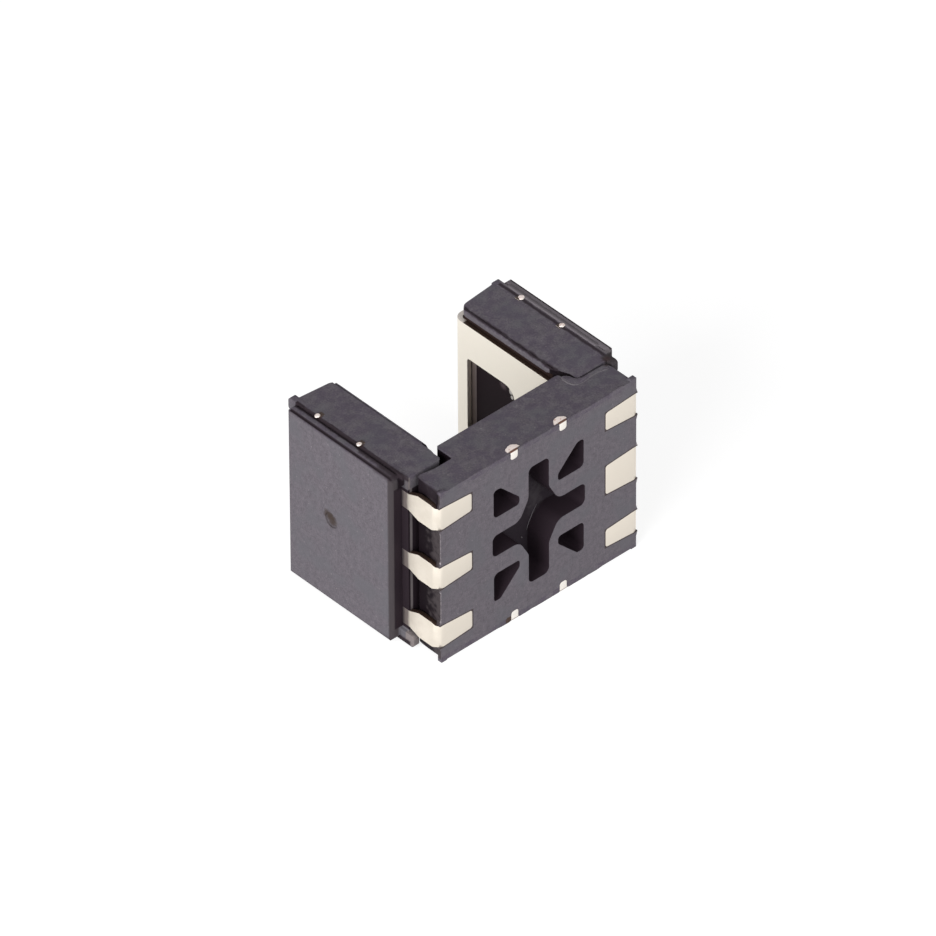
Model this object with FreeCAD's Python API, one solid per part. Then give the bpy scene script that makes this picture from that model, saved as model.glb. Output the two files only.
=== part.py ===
import FreeCAD, Part
import math
import os

# Slotted optical switch for surface mounting, two receiving channels.
# Three mouldings sit on one flat lead frame. The two outer ones are then folded up
# into arms, so the frame lies flush in the solder face of the base and runs up
# through both arms, and light crosses the slot from one arm to the other.
#
# Frame: X runs across the slot, Y from the solder face to the arm tips, Z is up as
# the switch lies on its long side. The origin is the middle of the solder face.
# All lengths are in millimetres. Sizes named HALF are measured from the middle.

Vector = FreeCAD.Vector

# Slot and arms
SLOT_WIDTH = 3.00            # between the two metal slot faces
ARM_THICKNESS = 1.25         # slot face to outer face
ARM_OUTER_SKIN = 0.26        # moulding outside the lead frame
ARM_TIP_Y = 3.80             # tip at the parting plane
ARM_ROOT_Y = 0.78            # root end of the inner half
ARM_HALF_WIDTH = 1.95        # at the parting plane
ARM_SIDE_DRAFT = 0.03        # loss of half width from the parting plane to each face
ARM_TIP_DRAFT = 0.06         # loss of height from the parting plane to the slot face
SKIN_TIP_Y = 3.77            # tip of the outer skin at the parting plane
SKIN_TIP_DRAFT = 0.05        # loss of height from there to the outer face
SKIN_ROOT_Y = 0.95           # root end of the outer skin
SKIN_EDGE_RADIUS = 0.06
SKIN_ROOT_RADIUS = 0.10
SKIN_OUTLINE_RADIUS = 0.19   # corners of the outer face
PARTING_GROOVE_WIDTH = 0.10  # sunk line along the sides where the halves meet
PARTING_GROOVE_DEPTH = 0.06
PARTING_GROOVE_SHIFT = 0.06  # its middle, outside the parting plane
EDGE_GROOVE_WIDTH = 0.05     # fine line along the sides beside the outer face
EDGE_GROOVE_DEPTH = 0.05
EDGE_GROOVE_INSET = 0.035    # its middle, inside the outer face
GATE_Y = 2.56                # where the resin was let in, in the middle of the outer face
GATE_RADIUS = 0.165
GATE_DEPTH = 0.03

# Slot side of each arm
FACE_SETBACK = {"emitter": 0.06, "receiver": 0}    # resin face behind the shield's face
LIP_INSET = 0.08             # from the arm's side to the edge of the slot face
LIP_CHAMFER = 0.045          # across the slot
LIP_GROOVE_WIDTH = 0.05      # fine line along the sides beside the slot face
LIP_GROOVE_DEPTH = 0.04
LIP_GROOVE_INSET = 0.06      # its middle, inside the slot face
SHIELD_GAP = 0.18            # from the shield's edge to the lip
TIP_CORNER_RADIUS = 0.19
ROOT_RELIEF_Y = 1.42         # where the slot face starts to run back
ROOT_HEEL_Y = 0.98
ROOT_HEEL_SETBACK = 0.17
ROOT_TOE_SETBACK = 0.17
ROOT_RADIUS = 0.08
POCKET_DEPTH = 0.03          # optical face, behind the shield's seat
POCKET_SURROUND = 0.04       # pocket wall outside the window's edge
POCKET_RADIUS = 0.10

# Flash tabs in the parting plane, at the corners of each arm
TAB_INSIDE = 0.09            # thickness on the slot side of the parting plane
TAB_OUTSIDE = 0.05
TAB_WIDTH = 0.26
TAB_RADIUS = 0.06
TIP_TAB_REACH = {"emitter": 0.13, "receiver": 0.06}
ROOT_TAB_REACH = {
    "emitter": {"upper": 0.08, "lower": 0.34},
    "receiver": {"upper": 0.32, "lower": 0.20},
}

# Base moulding
BASE_END_PROUD = 0.02        # each end of the solder face outside the leads' inner faces
BASE_HALF_WIDTH = 1.976
BASE_END_DRAFT = 0.08
BASE_SIDE_DRAFT = 0.07
BASE_CORNER_RADIUS = 0.17
CORNER_TAB_SIZE = 0.24       # thin flash left at each corner of the solder face
CORNER_TAB_PROUD = 0.02
LEAD_FLASH_REACH = 0.035     # slivers beside the edges of each lead
LEAD_FLASH_LENGTH = 0.12
FLANGE_Y = 0.70
BLOCK_Y = 1.14               # raised block, as long as the slot is wide
BLOCK_RADIUS = 0.10
BLOCK_FOOT_RADIUS = 0.08
SEAT_DEPTH = 0.05            # hollow under each arm's heel
SEAT_LENGTH = 0.46
SEAT_RAMP = 0.24
FLANGE_RADIUS = 0.05

# Relief pockets in the solder face: a plus and four triangles
POCKETS_DEPTH = 0.60
PLUS_HALF_LENGTH = 1.145
PLUS_HALF_WIDTH = 0.255      # arm across the width
PLUS_HALF_RISE = 1.36
PLUS_HALF_HEIGHT = 0.25      # arm along the length
PLUS_CORNER = (0.48, 0.66)   # where the diamond meets the two arms
PLUS_END_RADIUS = 0.12
PLUS_INNER_RADIUS = 0.24
TRIANGLE_INNER = (0.47, 0.655)
TRIANGLE_OUTER = (1.115, 1.305)
TRIANGLE_NOSE = 0.17         # short sides beside the two acute corners
TRIANGLE_RADIUS = 0.11

# Lead frame
SHEET = 0.10
PITCH = 1.38                 # between the leads of one arm
LEAD_BEND_RADIUS = 0.15      # outside of the bend at the solder face
PAD_LENGTH = 0.84            # from the riser's outer face to the pad's inner end
PAD_END_RADIUS = 0.06
PAD_END_HALF_WIDTH = 0.203
PAD_CORNER_HALF_WIDTH = 0.25
WIDE_LEAD_EXTRA = 0.13       # added to each side of the receiver's middle lead
RISER_HALF_WIDTH = 0.285
RISER_WIDE_FROM = 0.17
RISER_WIDE_TO = 0.52
NECK_HALF_WIDTH = 0.19
NECK_FROM = 0.76

# Inner ends of the outer leads, each centred on its tie bar
HEAD_LENGTH = 0.58
HEAD_INNER = 0.78            # from the middle of the arm
HEAD_RADIUS = 0.06
TIE_HALF_WIDTH = 0.065
TIE_PROUD = 0.01             # cut ends outside the arm's sides
LEAD_TIE_Y = 2.08
PADDLE_TIE_Y = 3.17

# Die paddle and shield, one sheet with the middle lead
OPTICAL_Y = 2.91             # height of the chips and the middle of the windows
PADDLE_LENGTH = 0.90
PADDLE_HALF_WIDTH = 0.62
PADDLE_NECK_LENGTH = 0.15    # where the paddle narrows at each end
SHIELD_INSET = 0.35          # from the arm's side to the shield's edge
SHIELD_END_Y = 1.22
SHIELD_LIFT = 0.12           # top of the fold above the arm's tip
SHIELD_BEND_RADIUS = 0.19
WINDOW_LENGTH = 1.27
WINDOW_HALF_WIDTH = 0.83
WINDOW_TIP_RADIUS = 0.06
WINDOW_BASE_RADIUS = 0.28

# Tie bars left in the two long edges of the base
BASE_TIE_X = 0.60
BASE_TIE_HALF_WIDTH = 0.09
BASE_TIE_LENGTH = 0.19
BASE_TIE_PROUD = 0.012
BASE_TIE_RADIUS = 0.06
BASE_NOTCH_RADIUS = 0.15
BASE_NOTCH_DEPTH = 0.05

# Chips, their glue and their wires
BOND_LAYER = 0.02
BOND_MARGIN = 0.04
LED_WIDTH = 0.32
LED_THICKNESS = 0.18
DETECTOR_WIDTH = 0.44
DETECTOR_THICKNESS = 0.20
DETECTOR_SPACING = 0.60
WIRE_RADIUS = 0.018
WIRE_RISE = 0.12
WIRE_BEND = 0.05             # cut off each corner of the wire's path
BALL_RADIUS = 0.045
BALL_HEIGHT = 0.025
WIRE_LAND_INSET = 0.24       # from the inner edge of the lead's head

# Worked out from the sizes above
SLOT_X = SLOT_WIDTH / 2
OUTER_X = SLOT_X + ARM_THICKNESS
PARTING_X = OUTER_X - ARM_OUTER_SKIN
FRAME_X = PARTING_X - SHEET
SEAT_X = SLOT_X + SHEET
BASE_END_X = FRAME_X + BASE_END_PROUD
PAD_INNER_END = PARTING_X - PAD_LENGTH
FACE_HALF_WIDTH = ARM_HALF_WIDTH - ARM_SIDE_DRAFT
LIP_HALF_WIDTH = ARM_HALF_WIDTH - LIP_INSET
SHIELD_HALF_WIDTH = ARM_HALF_WIDTH - SHIELD_INSET
SHIELD_TOP_Y = ARM_TIP_Y + SHIELD_LIFT
TIE_END_Z = ARM_HALF_WIDTH + TIE_PROUD
HEAD_FROM, HEAD_TO = LEAD_TIE_Y - HEAD_LENGTH / 2, LEAD_TIE_Y + HEAD_LENGTH / 2
PADDLE_FROM, PADDLE_TO = OPTICAL_Y - PADDLE_LENGTH / 2, OPTICAL_Y + PADDLE_LENGTH / 2
WINDOW_FROM, WINDOW_TO = OPTICAL_Y - WINDOW_LENGTH / 2, OPTICAL_Y + WINDOW_LENGTH / 2

# How the shapes are drawn
BEYOND = 1.0                 # how far cutters and masks run past what they shape
EDGE_SHARE = 0.45            # most of an edge that one rounded corner may take up
WIRE_SIDES = 8               # flats around a wire, which stand for a circle


def placer(axis, at):
    """Give the function that puts a flat point on the plane across an axis."""
    if axis == "X":
        return lambda y, z: Vector(at, y, z)
    if axis == "Y":
        return lambda x, z: Vector(x, at, z)
    return lambda x, y: Vector(x, y, at)


def rounded_edges(corners, place):
    """Join corners (u, v, radius) by lines, with a tangent arc at each radius."""
    count = len(corners)
    stretches = []
    for index in range(count):
        u, v, radius = corners[index]
        before, after = corners[index - 1], corners[(index + 1) % count]
        to_before = (before[0] - u, before[1] - v)
        to_after = (after[0] - u, after[1] - v)
        length_before, length_after = math.hypot(*to_before), math.hypot(*to_after)
        dir_before = (to_before[0] / length_before, to_before[1] / length_before)
        dir_after = (to_after[0] / length_after, to_after[1] / length_after)
        if radius <= 0:
            stretches.append([place(u, v)])
            continue
        cosine = dir_before[0] * dir_after[0] + dir_before[1] * dir_after[1]
        half_angle = math.acos(max(-1.0, min(1.0, cosine))) / 2
        tangent = min(radius / math.tan(half_angle), EDGE_SHARE * min(length_before, length_after))
        fitted = tangent * math.tan(half_angle)
        middle = (dir_before[0] + dir_after[0], dir_before[1] + dir_after[1])
        middle_length = math.hypot(*middle)
        reach = fitted / math.sin(half_angle) - fitted
        stretches.append([
            place(u + dir_before[0] * tangent, v + dir_before[1] * tangent),
            place(u + middle[0] / middle_length * reach, v + middle[1] / middle_length * reach),
            place(u + dir_after[0] * tangent, v + dir_after[1] * tangent),
        ])
    edges = []
    for index, stretch in enumerate(stretches):
        if len(stretch) == 3:
            edges.append(Part.Arc(*stretch).toShape())
        end, start = stretch[-1], stretches[(index + 1) % count][0]
        edges.append(Part.LineSegment(end, start).toShape())
    return edges


def prism(corners, axis, start, end):
    """Extrude a closed outline with rounded corners along an axis."""
    low, high = min(start, end), max(start, end)
    face = Part.Face(Part.Wire(rounded_edges(corners, placer(axis, low))))
    direction = {"X": Vector(1, 0, 0), "Y": Vector(0, 1, 0), "Z": Vector(0, 0, 1)}[axis]
    return face.extrude(direction * (high - low))


def mirrored_outline(half):
    """Complete an outline given on one side of its first coordinate's zero line."""
    return half + [(-u, v, radius) for u, v, radius in reversed(half)]


def upright_outline(half):
    """Complete an outline given on one side of its second coordinate's zero line."""
    return half + [(u, -v, radius) for u, v, radius in reversed(half)]


def four_way(shape):
    """The shape and its mirror images in both middle planes, as separate solids."""
    across = shape.mirror(Vector(), Vector(1, 0, 0))
    pair = [shape, across]
    return pair + [one.mirror(Vector(), Vector(0, 0, 1)) for one in pair]


def one_solid(shape, tidy=True):
    """The largest solid of a result, with seams between like faces removed."""
    cleaned = shape.removeSplitter() if tidy else shape
    return max(cleaned.Solids, key=lambda solid: solid.Volume)


# Relief pockets of the base

def plus_pocket():
    """The plus with a diamond at its middle."""
    corner_x, corner_z = PLUS_CORNER
    quarter = [
        (PLUS_HALF_WIDTH, PLUS_HALF_RISE, PLUS_END_RADIUS),
        (PLUS_HALF_WIDTH, corner_z, PLUS_INNER_RADIUS),
        (corner_x, PLUS_HALF_HEIGHT, PLUS_INNER_RADIUS),
        (PLUS_HALF_LENGTH, PLUS_HALF_HEIGHT, PLUS_END_RADIUS),
    ]
    right = quarter + [(x, -z, radius) for x, z, radius in reversed(quarter)]
    return prism(mirrored_outline(right), "Y", -BEYOND, POCKETS_DEPTH)


def triangle_pockets():
    """Four triangles with blunt corners, one in each corner of the plus."""
    inner_x, inner_z = TRIANGLE_INNER
    outer_x, outer_z = TRIANGLE_OUTER
    outline = [
        (inner_x, inner_z, TRIANGLE_RADIUS),
        (outer_x, inner_z, TRIANGLE_RADIUS),
        (outer_x, outer_z, TRIANGLE_RADIUS),
        (outer_x - TRIANGLE_NOSE, outer_z, TRIANGLE_RADIUS),
        (inner_x, inner_z + TRIANGLE_NOSE, TRIANGLE_RADIUS),
    ]
    return four_way(prism(outline, "Y", -BEYOND, POCKETS_DEPTH))


# Base moulding

def base_blank():
    """The base before its pockets: flange, raised block and the seats of the arms."""
    seat_y = FLANGE_Y - SEAT_DEPTH
    seat_end = SLOT_X + SEAT_LENGTH
    half = [
        (BASE_END_X, 0, 0),
        (BASE_END_X - BASE_END_DRAFT, FLANGE_Y, FLANGE_RADIUS),
        (seat_end + SEAT_RAMP, FLANGE_Y, FLANGE_RADIUS),
        (seat_end, seat_y, FLANGE_RADIUS),
        (SLOT_X, seat_y, BLOCK_FOOT_RADIUS),
        (SLOT_X, BLOCK_Y, BLOCK_RADIUS),
    ]
    long_section = prism(mirrored_outline(half), "Z", -BASE_HALF_WIDTH, BASE_HALF_WIDTH)
    back_half_width = BASE_HALF_WIDTH - BASE_SIDE_DRAFT
    cross_section = prism(upright_outline([
        (0, BASE_HALF_WIDTH, 0),
        (BLOCK_Y, back_half_width, FLANGE_RADIUS),
    ]), "X", -BASE_END_X - BEYOND, BASE_END_X + BEYOND)
    outline = prism([
        (sign_x * BASE_END_X, sign_z * BASE_HALF_WIDTH, BASE_CORNER_RADIUS)
        for sign_x, sign_z in ((-1, -1), (1, -1), (1, 1), (-1, 1))
    ], "Y", 0, BLOCK_Y)
    return long_section.common(cross_section).common(outline)


def corner_tabs():
    """Flash as thick as the lead frame, square where the body's corners are round."""
    inner_x, inner_z = BASE_END_X - CORNER_TAB_SIZE, BASE_HALF_WIDTH - CORNER_TAB_SIZE
    high_z = BASE_HALF_WIDTH + CORNER_TAB_PROUD
    tab = prism([
        (inner_x, inner_z, 0),
        (BASE_END_X, inner_z, 0),
        (BASE_END_X, high_z, 0),
        (BASE_END_X - CORNER_TAB_SIZE / 2, high_z, 0),
        (inner_x, BASE_HALF_WIDTH - BASE_CORNER_RADIUS / 2, 0),
    ], "Y", 0, SHEET)
    return four_way(tab)


def lead_places():
    """Side, height and extra half width of each of the six leads."""
    return [
        (side, place * PITCH, WIDE_LEAD_EXTRA if side > 0 and place == 0 else 0)
        for side in (1, -1) for place in (1, 0, -1)
    ]


def lead_notches():
    """Openings in the base's ends, as wide as the leads, where the leads bend up."""
    near_x, far_x = PARTING_X - LEAD_BEND_RADIUS, BASE_END_X + BEYOND
    notches = []
    for side, centre_z, extra in lead_places():
        half_width = PAD_CORNER_HALF_WIDTH + extra
        notches.append(prism([
            (side * near_x, -BEYOND, 0),
            (side * far_x, -BEYOND, 0),
            (side * far_x, LEAD_BEND_RADIUS, 0),
            (side * near_x, LEAD_BEND_RADIUS, 0),
        ], "Z", centre_z - half_width, centre_z + half_width))
    return notches


def lead_flash():
    """Pointed slivers of flash on the base's ends, beside both edges of each lead."""
    inner_x = BASE_END_X - LEAD_FLASH_LENGTH
    slivers = []
    for side, centre_z, extra in lead_places():
        for edge in (1, -1):
            near_z = centre_z + edge * (PAD_CORNER_HALF_WIDTH + extra)
            far_z = near_z + edge * LEAD_FLASH_LENGTH
            slivers.append(prism([
                (side * inner_x, near_z, 0),
                (side * (BASE_END_X + LEAD_FLASH_REACH), near_z, 0),
                (side * BASE_END_X, far_z, 0),
                (side * inner_x, far_z, 0),
            ], "Y", 0, SHEET))
    return slivers


def tie_notches():
    """Half-round nicks in the long edges, where the tie bars were cut off."""
    notch = Part.makeCylinder(
        BASE_NOTCH_RADIUS, BASE_NOTCH_DEPTH + BEYOND,
        Vector(BASE_TIE_X, -BASE_NOTCH_RADIUS / 2, BASE_HALF_WIDTH - BASE_NOTCH_DEPTH),
        Vector(0, 0, 1))
    return four_way(notch)


def base_moulding(embedded):
    """The moulded base with its relief pockets, closed around the metal in it."""
    body = base_blank().fuse(corner_tabs() + lead_flash())
    cutters = [plus_pocket()] + triangle_pockets() + tie_notches() + lead_notches() + embedded
    return one_solid(body.cut(cutters))


# Arm mouldings, made for the arm on the +X side

def arm_inner_half(face_x):
    """The thick half between the slot face and the lead frame."""
    long_section = prism([
        (face_x, ARM_TIP_Y - ARM_TIP_DRAFT, TIP_CORNER_RADIUS),
        (PARTING_X, ARM_TIP_Y, 0),
        (PARTING_X, ARM_ROOT_Y, 0),
        (SLOT_X + ROOT_TOE_SETBACK, ARM_ROOT_Y, ROOT_RADIUS),
        (SLOT_X + ROOT_HEEL_SETBACK, ROOT_HEEL_Y, ROOT_RADIUS),
        (face_x, ROOT_RELIEF_Y, ROOT_RADIUS),
    ], "Z", -ARM_HALF_WIDTH, ARM_HALF_WIDTH)
    lip_z = SHIELD_HALF_WIDTH + SHIELD_GAP
    cross_section = prism(upright_outline([
        (PARTING_X, ARM_HALF_WIDTH, 0),
        (face_x + LIP_CHAMFER, FACE_HALF_WIDTH, 0),
        (face_x, LIP_HALF_WIDTH, 0),
        (face_x, lip_z, 0),
        (SEAT_X, lip_z, 0),
    ]), "Y", ARM_ROOT_Y - BEYOND, ARM_TIP_Y + BEYOND)
    return long_section.common(cross_section)


def arm_outer_skin():
    """The thin half outside the lead frame, with its rounded outer edges."""
    long_section = prism([
        (PARTING_X, SKIN_TIP_Y, 0),
        (OUTER_X, SKIN_TIP_Y - SKIN_TIP_DRAFT, SKIN_EDGE_RADIUS),
        (OUTER_X, SKIN_ROOT_Y, SKIN_ROOT_RADIUS),
        (PARTING_X, SKIN_ROOT_Y, 0),
    ], "Z", -ARM_HALF_WIDTH, ARM_HALF_WIDTH)
    cross_section = prism(upright_outline([
        (PARTING_X, ARM_HALF_WIDTH, 0),
        (OUTER_X, FACE_HALF_WIDTH, SKIN_EDGE_RADIUS),
    ]), "Y", SKIN_ROOT_Y - BEYOND, ARM_TIP_Y + BEYOND)
    outline = prism(upright_outline([
        (SKIN_TIP_Y, ARM_HALF_WIDTH, SKIN_OUTLINE_RADIUS),
        (SKIN_ROOT_Y, ARM_HALF_WIDTH, SKIN_OUTLINE_RADIUS),
    ]), "X", PARTING_X, OUTER_X)
    return long_section.common(cross_section).common(outline)


def side_grooves(face_x):
    """The sunk parting line and the two fine edge lines, on both sides of an arm."""
    grooves = []
    for centre_x, side_z, width, depth in (
            (PARTING_X + PARTING_GROOVE_SHIFT, ARM_HALF_WIDTH, PARTING_GROOVE_WIDTH,
             PARTING_GROOVE_DEPTH),
            (OUTER_X - EDGE_GROOVE_INSET, FACE_HALF_WIDTH, EDGE_GROOVE_WIDTH, EDGE_GROOVE_DEPTH),
            (face_x + LIP_GROOVE_INSET, FACE_HALF_WIDTH, LIP_GROOVE_WIDTH, LIP_GROOVE_DEPTH)):
        groove = prism([
            (centre_x - width / 2, side_z + BEYOND, 0),
            (centre_x - width / 2, side_z, 0),
            (centre_x, side_z - depth, 0),
            (centre_x + width / 2, side_z, 0),
            (centre_x + width / 2, side_z + BEYOND, 0),
        ], "Y", ARM_ROOT_Y - BEYOND, ARM_TIP_Y + BEYOND)
        grooves += [groove, groove.mirror(Vector(), Vector(0, 0, 1))]
    return grooves


def flash_tabs(arm):
    """The stubs of flash left in the parting plane at the four corners of one arm."""
    inner_z = ARM_HALF_WIDTH - TAB_WIDTH
    low_x, high_x = PARTING_X - TAB_INSIDE, PARTING_X + TAB_OUTSIDE
    tip_y = ARM_TIP_Y + TIP_TAB_REACH[arm]
    tabs = []
    for sign, place in ((1, "upper"), (-1, "lower")):
        root_y = SKIN_ROOT_Y - ROOT_TAB_REACH[arm][place]
        tip = [
            (ARM_TIP_Y - TAB_WIDTH, sign * inner_z, 0),
            (tip_y, sign * inner_z, TAB_RADIUS),
            (tip_y, sign * ARM_HALF_WIDTH, TAB_RADIUS),
            (ARM_TIP_Y - TAB_WIDTH, sign * ARM_HALF_WIDTH, 0),
        ]
        root = [
            (SKIN_ROOT_Y + TAB_WIDTH, sign * inner_z, 0),
            (root_y, sign * inner_z, TAB_RADIUS),
            (root_y, sign * ARM_HALF_WIDTH, TAB_RADIUS),
            (SKIN_ROOT_Y + TAB_WIDTH, sign * ARM_HALF_WIDTH, 0),
        ]
        tabs += [prism(outline, "X", low_x, high_x) for outline in (tip, root)]
    return tabs


def optical_pocket():
    """The recess in the slot face, behind the window of the shield."""
    return prism(upright_outline([
        (WINDOW_TO + POCKET_SURROUND, WINDOW_HALF_WIDTH + POCKET_SURROUND, POCKET_RADIUS),
        (WINDOW_FROM - POCKET_SURROUND, WINDOW_HALF_WIDTH + POCKET_SURROUND, WINDOW_BASE_RADIUS),
    ]), "X", SLOT_X - BEYOND, SEAT_X + POCKET_DEPTH)


def gate_mark():
    """The shallow round mark in the outer face, where the gate broke off."""
    start = Vector(OUTER_X - GATE_DEPTH, GATE_Y, 0)
    return Part.makeCylinder(GATE_RADIUS, GATE_DEPTH + BEYOND, start, Vector(1, 0, 0))


def arm_moulding(arm, embedded):
    """One arm, closed around the metal, chips and wires inside it."""
    face_x = SLOT_X + FACE_SETBACK[arm]
    halves = arm_inner_half(face_x).fuse(arm_outer_skin())
    body = halves.cut(side_grooves(face_x)).fuse(flash_tabs(arm))
    return one_solid(body.cut([optical_pocket(), gate_mark()] + embedded))


# Lead frame, made for the arm on the +X side

def sheet_path(points):
    """A strip of sheet whose outer face follows points (x, y, bend radius)."""
    inner, count = [], len(points)
    for index in range(count):
        x, y, radius = points[index]
        turns = []
        for near, far in ((index - 1, index), (index, index + 1)):
            if 0 <= near and far < count:
                dx = points[far][0] - points[near][0]
                dy = points[far][1] - points[near][1]
                length = math.hypot(dx, dy)
                turns.append((-dy / length, dx / length))
        shift = turns[0] if len(turns) == 1 else (turns[0][0] + turns[1][0],
                                                   turns[0][1] + turns[1][1])
        inner.append((x + shift[0] * SHEET, y + shift[1] * SHEET, max(radius - SHEET, 0)))
    return points + inner[::-1]


def lead_mask(centre_z, extra, top_y):
    """The flat outline of a lead from its pad to its neck, as two crossing prisms."""
    riser = [
        (-BEYOND, PAD_CORNER_HALF_WIDTH + extra, 0),
        (LEAD_BEND_RADIUS / 2, PAD_CORNER_HALF_WIDTH + extra, 0),
        (RISER_WIDE_FROM, RISER_HALF_WIDTH + extra, 0),
        (RISER_WIDE_TO, RISER_HALF_WIDTH + extra, 0),
        (NECK_FROM, NECK_HALF_WIDTH, 0),
        (top_y, NECK_HALF_WIDTH, 0),
    ]
    wide = RISER_HALF_WIDTH + extra + BEYOND
    corner_x = PARTING_X - LEAD_BEND_RADIUS
    pad = [
        (PAD_INNER_END, PAD_END_HALF_WIDTH + extra, PAD_END_RADIUS),
        (corner_x, PAD_CORNER_HALF_WIDTH + extra, 0),
        (corner_x, wide, 0),
        (PARTING_X + BEYOND, wide, 0),
    ]
    shift = Vector(0, 0, centre_z)
    masks = [
        prism(upright_outline(riser), "X", PAD_INNER_END - BEYOND, PARTING_X + BEYOND),
        prism(upright_outline(pad), "Y", -BEYOND, top_y + BEYOND),
    ]
    return [mask.translated(shift) for mask in masks]


def lead_strip(top_y, half_width, centre_z):
    """The bent strip that pad and riser are cut from."""
    path = sheet_path([
        (PAD_INNER_END, 0, 0),
        (PARTING_X, 0, LEAD_BEND_RADIUS),
        (PARTING_X, top_y, 0),
    ])
    return prism(path, "Z", centre_z - half_width, centre_z + half_width)


def pad_and_riser(centre_z, extra, top_y):
    """Solder pad, bend and riser of one lead, up to the given height in the arm."""
    strip = lead_strip(top_y, RISER_HALF_WIDTH + extra + SHEET, centre_z)
    first, second = lead_mask(centre_z, extra, top_y)
    return strip.common(first).common(second)


def outer_lead(place):
    """A lead beside the middle one: its head takes a wire and keeps a tie bar."""
    sign = 1 if place == "upper" else -1
    lower_part = pad_and_riser(sign * PITCH, 0, HEAD_TO)
    head = prism([
        (HEAD_FROM, sign * HEAD_INNER, HEAD_RADIUS),
        (HEAD_TO, sign * HEAD_INNER, HEAD_RADIUS),
        (HEAD_TO, sign * (PITCH + NECK_HALF_WIDTH), HEAD_RADIUS),
        (HEAD_FROM, sign * (PITCH + NECK_HALF_WIDTH), 0),
    ], "X", FRAME_X, PARTING_X)
    tie = prism([
        (LEAD_TIE_Y - TIE_HALF_WIDTH, sign * PITCH, 0),
        (LEAD_TIE_Y + TIE_HALF_WIDTH, sign * PITCH, 0),
        (LEAD_TIE_Y + TIE_HALF_WIDTH, sign * TIE_END_Z, TIE_HALF_WIDTH / 2),
        (LEAD_TIE_Y - TIE_HALF_WIDTH, sign * TIE_END_Z, TIE_HALF_WIDTH / 2),
    ], "X", FRAME_X, PARTING_X)
    return one_solid(lower_part.fuse([head, tie]))


def shield_strip():
    """The sheet from the paddle out over the arm's tip and down the slot face."""
    path = sheet_path([
        (PARTING_X, PADDLE_TO + PADDLE_NECK_LENGTH, 0),
        (PARTING_X, SHIELD_TOP_Y, SHIELD_BEND_RADIUS),
        (SLOT_X, SHIELD_TOP_Y, SHIELD_BEND_RADIUS),
        (SLOT_X, SHIELD_END_Y, 0),
    ])
    strip = prism(path, "Z", -SHIELD_HALF_WIDTH, SHIELD_HALF_WIDTH)
    window = prism(upright_outline([
        (WINDOW_TO, WINDOW_HALF_WIDTH, WINDOW_TIP_RADIUS),
        (WINDOW_FROM, WINDOW_HALF_WIDTH, WINDOW_BASE_RADIUS),
    ]), "X", SLOT_X - BEYOND, SEAT_X + SHEET)
    return strip.cut(window)


def middle_lead(extra):
    """The middle lead, which carries the chips and ends in the folded shield."""
    lower_part = pad_and_riser(0, extra, PADDLE_FROM)
    paddle = prism(upright_outline([
        (PADDLE_TO + PADDLE_NECK_LENGTH, NECK_HALF_WIDTH, 0),
        (PADDLE_TO, PADDLE_HALF_WIDTH, HEAD_RADIUS),
        (PADDLE_FROM, PADDLE_HALF_WIDTH, HEAD_RADIUS),
        (PADDLE_FROM - PADDLE_NECK_LENGTH, NECK_HALF_WIDTH, 0),
    ]), "X", FRAME_X, PARTING_X)
    tie = prism(upright_outline([
        (PADDLE_TIE_Y - TIE_HALF_WIDTH, TIE_END_Z, TIE_HALF_WIDTH / 2),
        (PADDLE_TIE_Y + TIE_HALF_WIDTH, TIE_END_Z, TIE_HALF_WIDTH / 2),
    ]), "X", FRAME_X, PARTING_X)
    return one_solid(lower_part.fuse([paddle, tie, shield_strip()]))


def base_tie_bar():
    """A tie bar's cut end in the base's upper long edge, on the +X side."""
    return prism([
        (BASE_TIE_X - BASE_TIE_HALF_WIDTH, BASE_HALF_WIDTH + BASE_TIE_PROUD, 0),
        (BASE_TIE_X + BASE_TIE_HALF_WIDTH, BASE_HALF_WIDTH + BASE_TIE_PROUD, 0),
        (BASE_TIE_X + BASE_TIE_HALF_WIDTH, BASE_HALF_WIDTH - BASE_TIE_LENGTH, BASE_TIE_RADIUS),
        (BASE_TIE_X - BASE_TIE_HALF_WIDTH, BASE_HALF_WIDTH - BASE_TIE_LENGTH, BASE_TIE_RADIUS),
    ], "Y", 0, SHEET)


# Chips and wires, made for the arm on the +X side, where the chips face the slot

def die_and_glue(side, thickness, centre_z):
    """A chip on the paddle and the layer of conductive glue under it."""
    half_glue = side / 2 + BOND_MARGIN
    glue = prism([
        (OPTICAL_Y + sign_y * half_glue, centre_z + sign_z * half_glue, 0)
        for sign_y, sign_z in ((-1, -1), (1, -1), (1, 1), (-1, 1))
    ], "X", FRAME_X - BOND_LAYER, FRAME_X)
    corner = Vector(FRAME_X - BOND_LAYER - thickness, OPTICAL_Y - side / 2, centre_z - side / 2)
    return Part.makeBox(thickness, side, side, corner), glue


def wire_section(radius, centre_y, centre_z):
    """Corners of the regular outline that stands for a very small circle."""
    turns = [(index + 0.5) * 2 * math.pi / WIRE_SIDES for index in range(WIRE_SIDES)]
    return [(centre_y + radius * math.cos(turn), centre_z + radius * math.sin(turn), 0)
            for turn in turns]


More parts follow.
